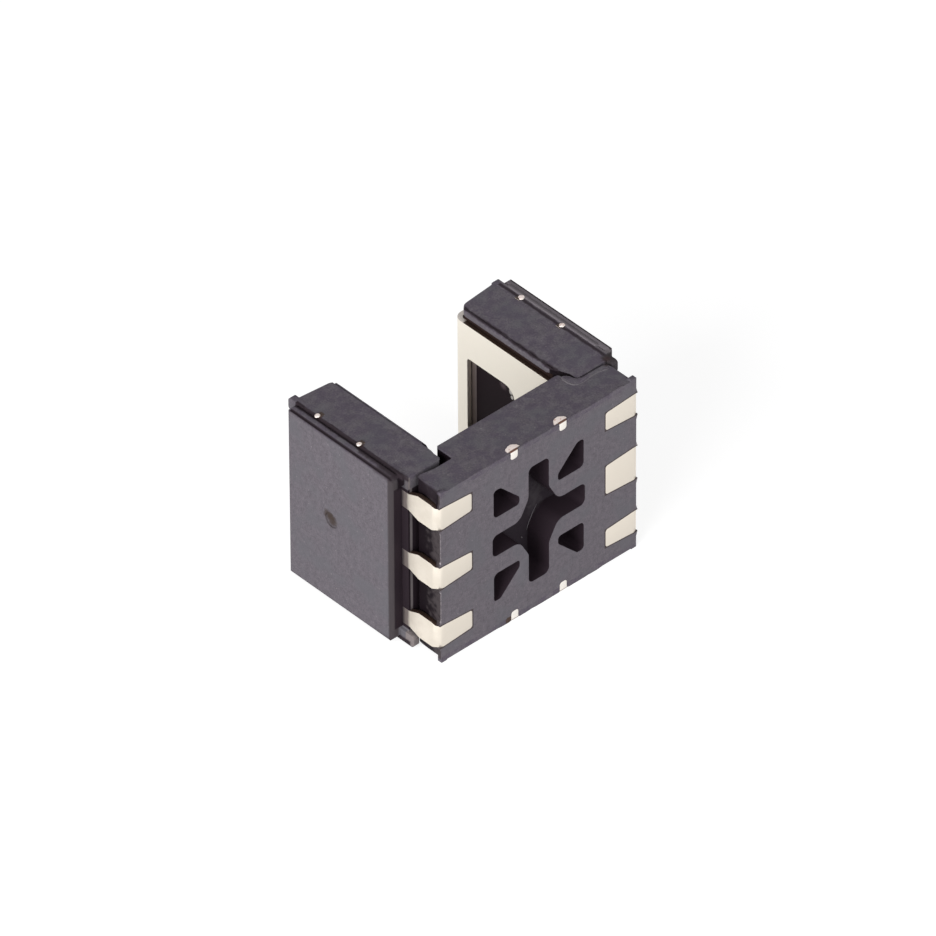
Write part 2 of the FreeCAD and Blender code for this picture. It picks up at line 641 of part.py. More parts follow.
def bond_wire(chip_z, thickness, land_z):
    """A gold wire that rises from the chip, crosses and lands on a lead's head."""
    chip_x = FRAME_X - BOND_LAYER - thickness
    loop_x = chip_x - WIRE_RISE
    start, end = Vector(chip_x, OPTICAL_Y, chip_z), Vector(FRAME_X, LEAD_TIE_Y, land_z)
    top_start, top_end = Vector(loop_x, OPTICAL_Y, chip_z), Vector(loop_x, LEAD_TIE_Y, land_z)
    along = (top_end - top_start).normalize() * WIRE_BEND
    back = Vector(WIRE_BEND, 0, 0)
    path = Part.makePolygon([
        start, top_start + back, top_start + along, top_end - along, top_end + back, end])
    section = rounded_edges(wire_section(WIRE_RADIUS, OPTICAL_Y, chip_z), placer("X", chip_x))
    wire = path.makePipeShell([Part.Wire(section)], True, False, 1)
    ball = prism(wire_section(BALL_RADIUS, OPTICAL_Y, chip_z), "X", chip_x - BALL_HEIGHT, chip_x)
    return one_solid(wire.fuse(ball), tidy=False)


# The two arms as wholes

def receiver_arm():
    """The receiving arm on the +X side, with its two detector chips."""
    pieces = {
        "receiver_output_lead_upper": outer_lead("upper"),
        "receiver_output_lead_lower": outer_lead("lower"),
        "receiver_shield_lead": middle_lead(WIDE_LEAD_EXTRA),
    }
    for place, sign in (("upper", 1), ("lower", -1)):
        centre_z = sign * DETECTOR_SPACING / 2
        land_z = sign * (HEAD_INNER + WIRE_LAND_INSET)
        chip, glue = die_and_glue(DETECTOR_WIDTH, DETECTOR_THICKNESS, centre_z)
        pieces[f"detector_chip_{place}"] = chip
        pieces[f"detector_glue_{place}"] = glue
        pieces[f"detector_wire_{place}"] = bond_wire(centre_z, DETECTOR_THICKNESS, land_z)
    pieces["receiver_arm_moulding"] = arm_moulding("receiver", list(pieces.values()))
    return pieces


def emitter_arm():
    """The lit arm with its one chip, made on the +X side and mirrored to the -X side."""
    chip, glue = die_and_glue(LED_WIDTH, LED_THICKNESS, 0)
    pieces = {
        "emitter_lead_upper": outer_lead("upper"),
        "emitter_lead_lower": outer_lead("lower"),
        "emitter_shield_lead": middle_lead(0),
        "emitter_chip": chip,
        "emitter_glue": glue,
        "emitter_wire": bond_wire(0, LED_THICKNESS, HEAD_INNER + WIRE_LAND_INSET),
    }
    pieces["emitter_arm_moulding"] = arm_moulding("emitter", list(pieces.values()))
    return {name: shape.mirror(Vector(), Vector(1, 0, 0)) for name, shape in pieces.items()}


def tie_bar_pieces():
    """The four cut tie bars of the base."""
    names = ("upper_right", "upper_left", "lower_right", "lower_left")
    return {f"base_tie_bar_{name}": bar for name, bar in zip(names, four_way(base_tie_bar()))}


def main():
    arms, ties = {**receiver_arm(), **emitter_arm()}, tie_bar_pieces()
    leads = [shape for name, shape in arms.items() if "_lead" in name]
    parts = {"base_moulding": base_moulding(leads + list(ties.values())), **arms, **ties}
    os.makedirs("parts", exist_ok=True)
    for name, shape in parts.items():
        shape.exportStep(f"parts/{name}.step")
        bounds = shape.BoundBox
        print(f"{name:30s} solids {len(shape.Solids)} valid {shape.isValid()} "
              f"volume {shape.Volume:8.4f} x {bounds.XMin:6.3f} {bounds.XMax:6.3f} "
              f"y {bounds.YMin:6.3f} {bounds.YMax:6.3f} z {bounds.ZMin:6.3f} {bounds.ZMax:6.3f}")


main()
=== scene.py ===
# %% [markdown]
# # A slotted optical switch, dressed for its photograph
#
# The part is 5.5 mm wide. Two moulded arms stand on a moulded base and face each other across
# a 3 mm slot. One arm sends infrared light and the other receives it. The shapes come ready made
# from the CAD model, so this lesson is about surfaces: moulded resin, tin plating, sheared copper
# and the small marks that moulding and cutting leave behind.

# %% Load the frame
import bmesh
import bpy
import math
import random
from mathutils import Matrix, Vector


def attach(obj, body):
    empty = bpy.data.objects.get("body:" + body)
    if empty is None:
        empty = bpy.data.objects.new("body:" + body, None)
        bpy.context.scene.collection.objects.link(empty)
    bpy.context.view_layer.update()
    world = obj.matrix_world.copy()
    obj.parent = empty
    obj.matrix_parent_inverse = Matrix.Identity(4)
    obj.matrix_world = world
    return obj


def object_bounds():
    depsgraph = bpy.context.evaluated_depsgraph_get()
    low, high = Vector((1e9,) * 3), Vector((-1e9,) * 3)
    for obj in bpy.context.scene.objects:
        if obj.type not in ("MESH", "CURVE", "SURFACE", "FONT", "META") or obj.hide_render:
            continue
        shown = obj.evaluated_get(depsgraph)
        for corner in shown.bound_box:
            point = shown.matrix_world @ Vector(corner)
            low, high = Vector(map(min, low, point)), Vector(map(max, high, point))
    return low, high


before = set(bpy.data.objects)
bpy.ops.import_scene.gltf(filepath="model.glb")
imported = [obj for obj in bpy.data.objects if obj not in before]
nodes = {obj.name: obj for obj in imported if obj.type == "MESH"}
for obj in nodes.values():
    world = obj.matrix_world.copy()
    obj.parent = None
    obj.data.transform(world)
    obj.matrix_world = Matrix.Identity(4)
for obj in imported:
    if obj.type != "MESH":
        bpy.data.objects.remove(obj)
cad_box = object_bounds()
MM = 0.001


def in_mm(values, digits=3):
    """Metres as rounded millimetres, for printing."""
    return [round(value / MM, digits) for value in values]


print(len(nodes), "CAD nodes, box in mm:", [in_mm(corner) for corner in cad_box])

# %% [markdown]
# ## The camera
#
# The photograph was taken with a long lens, from the front left and from above. A camera far away
# with a long lens gives the same nearly parallel edges. Its axes are worked out from two angles and
# a small roll, and it is moved sideways so that the object sits a little right of the middle, as it
# does in the photograph.

# %% Place the camera
VIEW_AZIMUTH = math.radians(-42.428)
VIEW_ELEVATION = math.radians(39.802)
VIEW_ROLL = math.radians(0.345)
VIEW_DISTANCE = 325.45 * MM
FRAME_WIDTH = 16.9555 * MM
SENSOR_WIDTH = 36.0
OBJECT_OFFSET_RIGHT = 1.2807 * MM
OBJECT_OFFSET_DOWN = 0.9560 * MM
CLIP_NEAR = 10 * MM
CLIP_FAR = 2000 * MM


def place_camera():
    """A long-lens camera at the photograph's angle, with the object off the middle."""
    flat = math.cos(VIEW_ELEVATION)
    back = Vector((math.sin(VIEW_AZIMUTH) * flat, -math.cos(VIEW_AZIMUTH) * flat,
                   math.sin(VIEW_ELEVATION)))
    right = Vector((math.cos(VIEW_AZIMUTH), math.sin(VIEW_AZIMUTH), 0))
    up = back.cross(right)
    place = back * VIEW_DISTANCE - right * OBJECT_OFFSET_RIGHT + up * OBJECT_OFFSET_DOWN
    rolled_right = right * math.cos(VIEW_ROLL) - up * math.sin(VIEW_ROLL)
    rolled_up = right * math.sin(VIEW_ROLL) + up * math.cos(VIEW_ROLL)
    turn = Matrix((rolled_right, rolled_up, back)).transposed().to_4x4()
    lens = bpy.data.cameras.new("photo_camera")
    lens.sensor_width = SENSOR_WIDTH
    lens.lens = SENSOR_WIDTH * VIEW_DISTANCE / FRAME_WIDTH
    lens.clip_start, lens.clip_end = CLIP_NEAR, CLIP_FAR
    camera = bpy.data.objects.new("photo_camera", lens)
    camera.matrix_world = Matrix.Translation(place) @ turn
    bpy.context.scene.collection.objects.link(camera)
    bpy.context.scene.camera = camera
    return camera


camera = place_camera()
print("camera at mm:", in_mm(camera.location, 1), "lens", round(camera.data.lens, 1))

# %% [markdown]
# ## Starting a material
#
# Every finish here is made from nodes, and a few small helpers keep the cells short. A material
# starts from an empty tree with a Principled shader and the object's own coordinates. They are in
# metres, so a grain of 0.03 mm is the same size on every piece. Another helper connects two
# sockets, or writes a plain value where no socket is needed, and the last one does so for the
# three inputs of the shader that every finish sets.

# %% Start a material
def empty_tree(owner, output_type):
    """The emptied node tree of a material or a world, with its output node."""
    owner.use_nodes = True
    tree = owner.node_tree
    tree.nodes.clear()
    return tree, tree.nodes.new(output_type)


def start_material(name):
    """A new material with a Principled shader and the object's own coordinates."""
    material = bpy.data.materials.new(name)
    tree, output = empty_tree(material, "ShaderNodeOutputMaterial")
    shader = tree.nodes.new("ShaderNodeBsdfPrincipled")
    place = tree.nodes.new("ShaderNodeTexCoord").outputs["Object"]
    tree.links.new(shader.outputs["BSDF"], output.inputs["Surface"])
    return material, tree, shader, place


def link(tree, source, target):
    """Connect an output to an input, or write a plain value into the input."""
    if isinstance(source, bpy.types.NodeSocket):
        tree.links.new(source, target)
    else:
        target.default_value = source


def paint(tree, shader, colour, roughness, metallic=0.0):
    """Give the shader its colour, its roughness and how metallic it is."""
    inputs = (("Base Color", colour), ("Roughness", roughness), ("Metallic", metallic))
    for name, source in inputs:
        link(tree, source, shader.inputs[name])


print("materials can be started and painted")

# %% [markdown]
# ## Steps on numbers, vectors and colours
#
# A pattern in nodes is a chain of small steps, and drawn by hand such a chain soon fills the
# screen. Each helper here adds one node and returns its output, so a chain of calls reads almost
# like a formula.

# %% One step at a time
def maths(tree, operation, first, second=0.0):
    """One arithmetic step on sockets or numbers."""
    node = tree.nodes.new("ShaderNodeMath")
    node.operation = operation
    link(tree, first, node.inputs[0])
    link(tree, second, node.inputs[1])
    return node.outputs[0]


def vector_step(tree, operation, vector, amount=None):
    """The same step on all three coordinates at once."""
    node = tree.nodes.new("ShaderNodeVectorMath")
    node.operation = operation
    tree.links.new(vector, node.inputs[0])
    if amount is not None:
        link(tree, amount, node.inputs[1])
    return node.outputs["Value" if operation == "LENGTH" else "Vector"]


def axes(tree, vector):
    """The X, Y and Z of a vector, each on its own."""
    node = tree.nodes.new("ShaderNodeSeparateXYZ")
    tree.links.new(vector, node.inputs[0])
    return [node.outputs[axis] for axis in "XYZ"]


def ramp(tree, value, low, high, to_low=0.0, to_high=1.0):
    """Map a value from one range to another with soft ends."""
    node = tree.nodes.new("ShaderNodeMapRange")
    node.interpolation_type = "SMOOTHSTEP"
    link(tree, value, node.inputs["Value"])
    limits = (("From Min", low), ("From Max", high), ("To Min", to_low), ("To Max", to_high))
    for name, number in limits:
        node.inputs[name].default_value = number
    return node.outputs["Result"]


def blend(tree, factor, first, second):
    """Mix two colours, or colour sockets, by a factor."""
    node = tree.nodes.new("ShaderNodeMix")
    node.data_type = "RGBA"
    link(tree, factor, node.inputs["Factor"])
    link(tree, first, node.inputs["A"])
    link(tree, second, node.inputs["B"])
    return node.outputs["Result"]


print("steps ready")

# %% [markdown]
# ## Noise and relief
#
# No real surface has one even colour. Cloudy noise gives the fine grain and the broad clouds
# alike, and only its size tells them apart. The same noise can raise the surface a little. A bump
# is right for that, because the grain is finer than any mesh should be.

# %% Noise and relief
MIDDLE = (0.3, 0.7)  # most of a noise lies between these two values


def noise(tree, place, size, detail=2.0):
    """Cloudy noise whose blobs are about the given size in metres."""
    node = tree.nodes.new("ShaderNodeTexNoise")
    tree.links.new(place, node.inputs["Vector"])
    node.inputs["Scale"].default_value = 1.0 / size
    node.inputs["Detail"].default_value = detail
    return node.outputs["Fac"]


def mixed(tree, first, second, share):
    """Two noises in one: the first by its share, the second by the rest."""
    first = maths(tree, "MULTIPLY", first, share)
    return maths(tree, "ADD", first, maths(tree, "MULTIPLY", second, 1 - share))


def centred(tree, value, reach):
    """A noise that swings about zero, by the reach from its lowest to its highest value."""
    return maths(tree, "MULTIPLY", maths(tree, "SUBTRACT", value, 0.5), reach)


def bump(tree, height, depth, shader, strength=1.0):
    """Raise the surface by a height pattern of the given depth in metres."""
    node = tree.nodes.new("ShaderNodeBump")
    node.inputs["Distance"].default_value = depth
    link(tree, strength, node.inputs["Strength"])
    tree.links.new(height, node.inputs["Height"])
    tree.links.new(node.outputs["Normal"], shader.inputs["Normal"])


print("noise and relief ready")

# %% [markdown]
# ## Marking off one zone of a surface
#
# A mould is never the same all over: some faces are spark-eroded and print a matt grain, others
# are polished and print a smooth skin. Some zones are also painted darker to stand for shade, and a
# few lighter to stand for light. Painting masks by hand needs an unwrapped mesh. Here a zone is a
# box in the object's own space, which needs nothing but numbers from the drawing. The part is
# nearly the same on both sides of its two middle planes, so the coordinates are folded first: one
# box then stands for all four mirror images.

# %% Masks
def fold(tree, place):
    """Coordinates with their signs dropped, so that one box counts on every side."""
    return vector_step(tree, "ABSOLUTE", place)


def wobble(tree, place, size, amount):
    """Coordinates that wander a little, so that a zone's border isn't a ruled line."""
    wander = tree.nodes.new("ShaderNodeTexNoise")
    wander.inputs["Scale"].default_value = 1.0 / size
    tree.links.new(place, wander.inputs["Vector"])
    swing = vector_step(tree, "SUBTRACT", wander.outputs["Color"], (0.5, 0.5, 0.5))
    swing = vector_step(tree, "MULTIPLY", swing, (amount, amount, amount))
    return vector_step(tree, "ADD", place, swing)


def box_mask(tree, place, low, high, soft):
    """1 inside a box given in millimetres, 0 outside, with a soft border."""
    centre = [(a + b) / 2 * MM for a, b in zip(low, high)]
    half = [(b - a) / 2 * MM for a, b in zip(low, high)]
    vector = vector_step(tree, "SUBTRACT", place, centre)
    vector = vector_step(tree, "ABSOLUTE", vector)
    x, y, z = axes(tree, vector_step(tree, "SUBTRACT", vector, half))
    outside = maths(tree, "MAXIMUM", maths(tree, "MAXIMUM", x, y), z)
    return ramp(tree, outside, -soft * MM, soft * MM, 1.0, 0.0)


print("masks ready")

# %% [markdown]
# ## Laying finishes over each other
#
# A surface here is built like paint on wood, coat by coat. The class keeps the colour, the
# roughness and the strength of the relief as they are so far, and every new coat changes all three
# where its mask is 1. A coat can be a box with its mirror images, one box only, or a round blob
# with a ragged border. A class is used because the three values always change together.

# %% A finish in coats
LOOSE_SIZE = 0.18 * MM
LOOSE_REACH = 0.055 * MM
BLOB_GRAIN = 0.08 * MM
BLOB_OUTSIDE = 1.10
POLISHED, SATIN, DULL, DUSTY = 0.42, 0.5, 0.6, 0.7  # roughness
FULL_RELIEF, WORN_RELIEF = 1.0, 0.15


class Finish:
    """The colour, roughness and relief of a surface, changed coat by coat."""

    def __init__(self, tree, place, colour, roughness):
        self.tree, self.place, self.folded = tree, place, fold(tree, place)
        self.loose = wobble(tree, self.folded, LOOSE_SIZE, LOOSE_REACH)
        self.colour, self.roughness, self.relief = colour, roughness, FULL_RELIEF

    def cover(self, mask, tone, roughness, relief=FULL_RELIEF):
        """Lay another finish over the surface where the mask is 1."""
        self.colour = blend(self.tree, mask, self.colour, tone)
        for name, target in (("roughness", roughness), ("relief", relief)):
            old = getattr(self, name)
            change = maths(self.tree, "SUBTRACT", target, old)
            step = maths(self.tree, "MULTIPLY", mask, change)
            setattr(self, name, maths(self.tree, "ADD", old, step))

    def zone(self, low, high, tone, roughness, relief=WORN_RELIEF, soft=0.006, loose=False,
             share=1.0):
        """Lay a finish over a box and its mirror images."""
        mask = box_mask(self.tree, self.loose if loose else self.folded, low, high, soft)
        self.cover(maths(self.tree, "MULTIPLY", mask, share), tone, roughness, relief)

    def spot(self, low, high, tone, roughness, soft=0.02):
        """Lay a finish over one box only."""
        self.cover(box_mask(self.tree, self.place, low, high, soft), tone, roughness)

    def blob(self, centre, reach, tone, roughness=DUSTY, ragged=0.8, core=0.80, share=1.0):
        """Lay a finish over one rounded patch with a ragged border; lengths in millimetres."""
        tree, vector = self.tree, self.place
        for operation, values in (("SUBTRACT", centre), ("DIVIDE", reach)):
            vector = vector_step(tree, operation, vector, [value * MM for value in values])
        distance = vector_step(tree, "LENGTH", vector)
        rag = centred(tree, noise(tree, self.place, BLOB_GRAIN, detail=3.0), ragged)
        edge = maths(tree, "ADD", distance, rag)
        self.cover(ramp(tree, edge, core, BLOB_OUTSIDE, share, 0.0), tone, roughness)


print("coats ready: zone, spot and blob")

# %% [markdown]
# ## Moulded resin
#
# The three mouldings are epoxy filled with fine glass powder. Under a strong lens such a surface
# is a matt grey with a purple cast, cloudy, with a fine grain and a few pale specks where a bead of
# filler reaches the surface. The clouds and the grain are two noises of different size, a third
# drifts the cast between warm and cold, and the specks are the rare peaks of a fourth. The long
# sides of the part are darker in blotches, so a fifth noise lays a darker tone over them.

# %% Resin material
RESIN_TONE = (0.162, 0.146, 0.165, 1)
RESIN_DARK = (0.104, 0.093, 0.107, 1)
RESIN_COLD = (0.124, 0.121, 0.135, 1)
SIDE_TONE = (0.084, 0.066, 0.098, 1)
SPECK_TONE = (0.30, 0.28, 0.29, 1)
GRAIN_SIZE = 0.034 * MM
CLOUD_SIZE = 0.11 * MM
DRIFT_SIZE = 0.60 * MM
BLOTCH_SIZE = 0.20 * MM
SPECK_SIZE = 0.045 * MM
GRAIN_DEPTH = 0.005 * MM
RESIN_ROUGHNESS = 0.62
RESIN_SPECULAR = 0.03
# How far each noise acts: from its low to its high value, and then from what to what.
MOTTLE_RANGE = (0.25, 0.75)
DRIFT_RANGE = (0.45, 0.70, 0.0, 0.6)
SPECK_RANGE = (0.78, 0.86, 0.0, 0.45)
BLOTCH_RANGE = (0.38, 0.62, 0.52, 0.0)
ROUGHNESS_RANGE = (*MIDDLE, RESIN_ROUGHNESS - 0.05, RESIN_ROUGHNESS + 0.06)
LONG_SIDES = (-3.0, -0.1, 1.87), (3.0, 4.2, 2.1)


def start_resin(name):
    """Matt filled resin, ready for zones of other finishes."""
    material, tree, shader, place = start_material(name)
    shader.inputs["Specular IOR Level"].default_value = RESIN_SPECULAR
    grain = noise(tree, place, GRAIN_SIZE)
    clouds = noise(tree, place, CLOUD_SIZE, detail=3.0)
    drift = noise(tree, place, DRIFT_SIZE, detail=1.0)
    specks = noise(tree, place, SPECK_SIZE, detail=0.0)
    blotch = noise(tree, place, BLOTCH_SIZE, detail=3.0)
    mottle = mixed(tree, grain, clouds, share=0.5)
    colour = blend(tree, ramp(tree, mottle, *MOTTLE_RANGE), RESIN_DARK, RESIN_TONE)
    colour = blend(tree, ramp(tree, drift, *DRIFT_RANGE), colour, RESIN_COLD)
    colour = blend(tree, ramp(tree, specks, *SPECK_RANGE), colour, SPECK_TONE)
    finish = Finish(tree, place, colour, ramp(tree, clouds, *ROUGHNESS_RANGE))
    long_sides = box_mask(tree, finish.folded, *LONG_SIDES, soft=0.01)
    darker = ramp(tree, mixed(tree, grain, blotch, share=0.3), *BLOTCH_RANGE)
    finish.cover(maths(tree, "MULTIPLY", long_sides, darker), SIDE_TONE, RESIN_ROUGHNESS)
    return material, shader, grain, finish


def end_resin(shader, grain, finish):
    """Connect the finished colour, roughness and relief to the shader."""
    paint(finish.tree, shader, finish.colour, finish.roughness)
    bump(finish.tree, grain, GRAIN_DEPTH, shader, finish.relief)


print("resin ready, grain in mm:", GRAIN_SIZE / MM)

# %% [markdown]
# ## The ends of the base
#
# The two ends of the base are smooth and painted almost black, as shade between the leads and
# under the arms. Towards the solder face the painted shade turns lighter in ragged clouds. A plain
# fade along Y would be too even, so the height is shifted up and down by a noise before it is
# turned into a tone.

# %% Tone of the base's ends
# A deep painted shade, used on the base's ends and in other shaded places.
DEEP_SHADE = (0.011, 0.0075, 0.0100, 1)
END_LIGHT = (0.058, 0.048, 0.051, 1)
END_CLOUD_SIZE = 0.12 * MM
END_CLOUD_REACH = 0.9 * MM
END_FADE = (0.06 * MM, 0.46 * MM)


def end_shade(finish):
    """Painted shade: almost black, and lighter in clouds towards the solder face."""
    tree = finish.tree
    cloud = noise(tree, finish.place, END_CLOUD_SIZE, detail=3.0)
    climb = maths(tree, "ADD", axes(tree, finish.loose)[1], centred(tree, cloud, END_CLOUD_REACH))
    return blend(tree, ramp(tree, climb, *END_FADE), END_LIGHT, DEEP_SHADE)


print("the ends fade over mm:", in_mm(END_FADE))

# %% [markdown]
# ## The line around each pad
#
# Six pads of tinned sheet lie flush in the solder face. Where the sheet meets the resin, dirt has
# drawn a thin brown line. The pads grow wider towards the edge of the base, and the middle one
# of the receiving arm is wider than the rest. The distance from a pad's side is therefore worked
# out in nodes, and the line is drawn where it is small.

# %% Lines around the pads
PAD_PITCH = 1.38 * MM
PAD_INNER_X = 1.65 * MM
PAD_HALF = 0.203 * MM
PAD_WIDENS = 0.068
PAD_EXTRA = 0.13 * MM
PAD_GAP = 0.026 * MM
PAD_GAP_SOFT = 0.004 * MM
PAD_GAP_FADE = (0.010 * MM, 0.016 * MM)
PAD_GAP_SHARE = 0.65
PAD_GAP_TONE = (0.040, 0.025, 0.020, 1)


def pad_gaps(finish):
    """A thin brown line in the base around each pad, where sheet and resin meet."""
    tree = finish.tree
    x, y, z = axes(tree, finish.folded)
    receiving = maths(tree, "GREATER_THAN", axes(tree, finish.place)[0], 0.0)
    widening = maths(tree, "MULTIPLY", maths(tree, "SUBTRACT", x, PAD_INNER_X), PAD_WIDENS)
    outer = maths(tree, "ABSOLUTE", maths(tree, "SUBTRACT", z, PAD_PITCH))
    middle = maths(tree, "SUBTRACT", z, maths(tree, "MULTIPLY", receiving, PAD_EXTRA))
    beside = maths(tree, "SUBTRACT", maths(tree, "MINIMUM", outer, middle), widening)
    side, end = PAD_HALF + PAD_GAP, PAD_INNER_X - PAD_GAP
    near = ramp(tree, beside, side - PAD_GAP_SOFT, side + PAD_GAP_SOFT, 1.0, 0.0)
    outward = ramp(tree, x, end - PAD_GAP_SOFT, end + PAD_GAP_SOFT)
    in_face = ramp(tree, y, *PAD_GAP_FADE, PAD_GAP_SHARE, 0.0)
    mask = maths(tree, "MULTIPLY", maths(tree, "MULTIPLY", near, outward), in_face)
    finish.cover(mask, PAD_GAP_TONE, DUSTY)


print("line around the pads in mm:", PAD_GAP / MM)

# %% [markdown]
# ## The base
#
# The broad faces of the base are matt. The walls of its relief pockets are smooth and painted near
# black as shade deep in the pockets, and the pocket floors are painted a dull dark grey as shade,
# with one lighter patch of painted light. Smaller coats follow: painted shade on one upper corner
# and along the top of that end, painted shade on the steps of the raised block, brown dust, a pale
# dotted rim between the leads that is a painted highlight, a stain on the long edge and the lines
# around the pads. Later coats lie over earlier ones, so their order matters.

# %% Base material
POCKET_WALL_SHADE = (0.026, 0.018, 0.0235, 1)
POCKET_FLOOR_SHADE = (0.030, 0.024, 0.030, 1)
POCKET_FLOOR_LIT = (0.052, 0.045, 0.051, 1)
RIM_HIGHLIGHT = (0.42, 0.38, 0.40, 1)
STAIN_TONE = (0.075, 0.052, 0.044, 1)
BROWN_TONE = (0.050, 0.032, 0.034, 1)
CORNER_SHADE = (0.022, 0.016, 0.021, 1)
RIM_DOTS = (0.45, 0.55, 0.30, 1.0)
POCKET_X, POCKET_Z, POCKET_DEPTH = 1.20, 1.42, 0.60
# Boxes are given by two corners, blobs by centre and reach, all in millimetres.
POCKET_WALLS = (-POCKET_X, 0.010, -POCKET_Z), (POCKET_X, POCKET_DEPTH - 0.006, POCKET_Z)
POCKET_FLOORS = ((-POCKET_X, POCKET_DEPTH - 0.004, -POCKET_Z),
                 (POCKET_X, POCKET_DEPTH + 0.010, POCKET_Z))
POCKET_FLOOR_LIT_PATCH = (0.44, 0.60, -0.05), (0.24, 0.08, 0.46)
BASE_ENDS = (2.285, 0.014, -1.925), (2.60, 0.72, 1.925)
SHADED_CORNER = (-2.60, 0.07, 1.70), (-2.345, 0.72, 2.10)
SHADED_UPPER_END = (-2.60, 0.06, 1.60), (-2.395, 0.72, 1.925)
SHADED_BLOCK_STEPS = (1.46, 0.66, -1.89), (1.54, 1.11, 1.89)
CORNER_DUST = (2.31, 0.69, 1.94), (0.10, 0.06, 0.08)
LEAD_RIM_HIGHLIGHTS = (2.410, -0.05, 0.33), (2.60, 0.030, 1.05)
EDGE_STAIN = (-0.745, 0.0, -1.93), (0.085, 0.05, 0.075)


def base_material(name):
    """Base resin: matt outside; smooth and painted dark as shade in the pockets and on the ends."""
    material, shader, grain, finish = start_resin(name)
    tree = finish.tree
    # Painted shade: the smooth walls of the deep pockets are near black.
    finish.zone(*POCKET_WALLS, POCKET_WALL_SHADE, POLISHED, soft=0.004)
    # Painted shade on the pocket floors.
    finish.zone(*POCKET_FLOORS, POCKET_FLOOR_SHADE, DULL, relief=FULL_RELIEF, soft=0.003)
    # A patch of painted light on one pocket floor.
    finish.blob(*POCKET_FLOOR_LIT_PATCH, POCKET_FLOOR_LIT, DULL, ragged=1.6, core=0.1)
    # Painted shade on the ends of the base, lighter in clouds towards the solder face.
    finish.zone(*BASE_ENDS, end_shade(finish), POLISHED, soft=0.02)
    # Painted shade on the upper corner of one end and along the top of that end.
    finish.spot(*SHADED_CORNER, CORNER_SHADE, POLISHED, soft=0.06)
    finish.spot(*SHADED_UPPER_END, DEEP_SHADE, POLISHED)
    # Painted shade on the steps of the raised block, in the gap under the arms' heels.
    finish.zone(*SHADED_BLOCK_STEPS, DEEP_SHADE, POLISHED, soft=0.01)
    finish.blob(*CORNER_DUST, BROWN_TONE, ragged=1.2, core=0.2, share=0.8)
    # A painted highlight along the edge between the ends and the solder face, dotted by the grain.
    rim_highlight_mask = box_mask(tree, finish.folded, *LEAD_RIM_HIGHLIGHTS, soft=0.006)
    finish.cover(maths(tree, "MULTIPLY", rim_highlight_mask, ramp(tree, grain, *RIM_DOTS)), RIM_HIGHLIGHT, SATIN)
    finish.blob(*EDGE_STAIN, STAIN_TONE)
    pad_gaps(finish)
    end_resin(shader, grain, finish)
    return material


base_resin = base_material("base_resin")
print("made", base_resin.name)

# %% [markdown]
# ## The roots of the arms
#
# Where an arm meets the base, the face under the arm's inner half is smooth and painted dark as
# shade under the arm, and the outer skin ends in a darker edge. A pale line along the root's edge
# is a painted highlight. Two pale tabs show where the mould halves met; on the upper tab a narrow
# strip is a painted highlight. One root corner and each arm's heel face at the slot get painted
# shade as well. These are boxes again, four of them mirrored and three on one corner.

# %% Root finishes
ROOT_EDGE_TONE = (0.055, 0.047, 0.051, 1)
ROOT_SHADE = (0.022, 0.0155, 0.0200, 1)
ROOT_HIGHLIGHT_TONE = (0.21, 0.185, 0.19, 1)
TAB_TONE = (0.21, 0.182, 0.182, 1)
SKIN_ROOTS = (2.59, 0.90, -2.0), (2.80, 1.045, 2.0)
INNER_ROOTS = (1.72, 0.60, -1.64), (2.68, 0.992, 1.64)
SHADED_ROOT_CORNER = (-2.60, 0.60, 1.60), (-2.49, 1.02, 1.93)
ROOT_EDGE_HIGHLIGHTS = (2.390, 0.60, -1.66), (2.448, 0.800, 1.66)
LOWER_TAB = (-2.60, 0.40, -1.93), (-2.36, 0.82, -1.67)
UPPER_TAB_HIGHLIGHT = (-2.485, 0.55, 1.66), (-2.440, 0.84, 1.925)
SHADED_SLOT_ROOTS = (1.40, 0.76, -1.91), (1.71, 1.36, 1.91)


def root_zones(finish):
    """A darker end of the outer skin, painted shade under the inner half, on a corner and at the
    heels, pale tabs, and painted highlights on the root's edge and the upper tab.
    """
    finish.zone(*SKIN_ROOTS, ROOT_EDGE_TONE, SATIN, soft=0.030)
    # Painted shade on the face under each arm's inner half.
    finish.zone(*INNER_ROOTS, ROOT_SHADE, POLISHED, soft=0.010)
    # Painted shade on one root corner.
    finish.spot(*SHADED_ROOT_CORNER, DEEP_SHADE, POLISHED, soft=0.03)
    # A painted highlight along the root's edge.
    finish.zone(*ROOT_EDGE_HIGHLIGHTS, ROOT_HIGHLIGHT_TONE, SATIN, soft=0.010, share=0.8)
    finish.spot(*LOWER_TAB, TAB_TONE, DULL)
    # A painted highlight on a narrow strip of the upper tab.
    finish.spot(*UPPER_TAB_HIGHLIGHT, TAB_TONE, DULL, soft=0.012)
    # Painted shade on each arm's heel face at the slot.
    finish.zone(*SHADED_SLOT_ROOTS, DEEP_SHADE, POLISHED, soft=0.015)


print("root finishes ready")

# %% [markdown]
# ## The windows
#
# Behind each shield's window the mould was polished, because the infrared light passes there:
# resin that is black to the eye is clear to infrared. The wall at the tip side of the window is
# paler, and so is the foot of that wall. A painted sheen and two painted reflections lie in one
# corner of the receiving arm's window. They are blobs, because their borders are round and uneven.

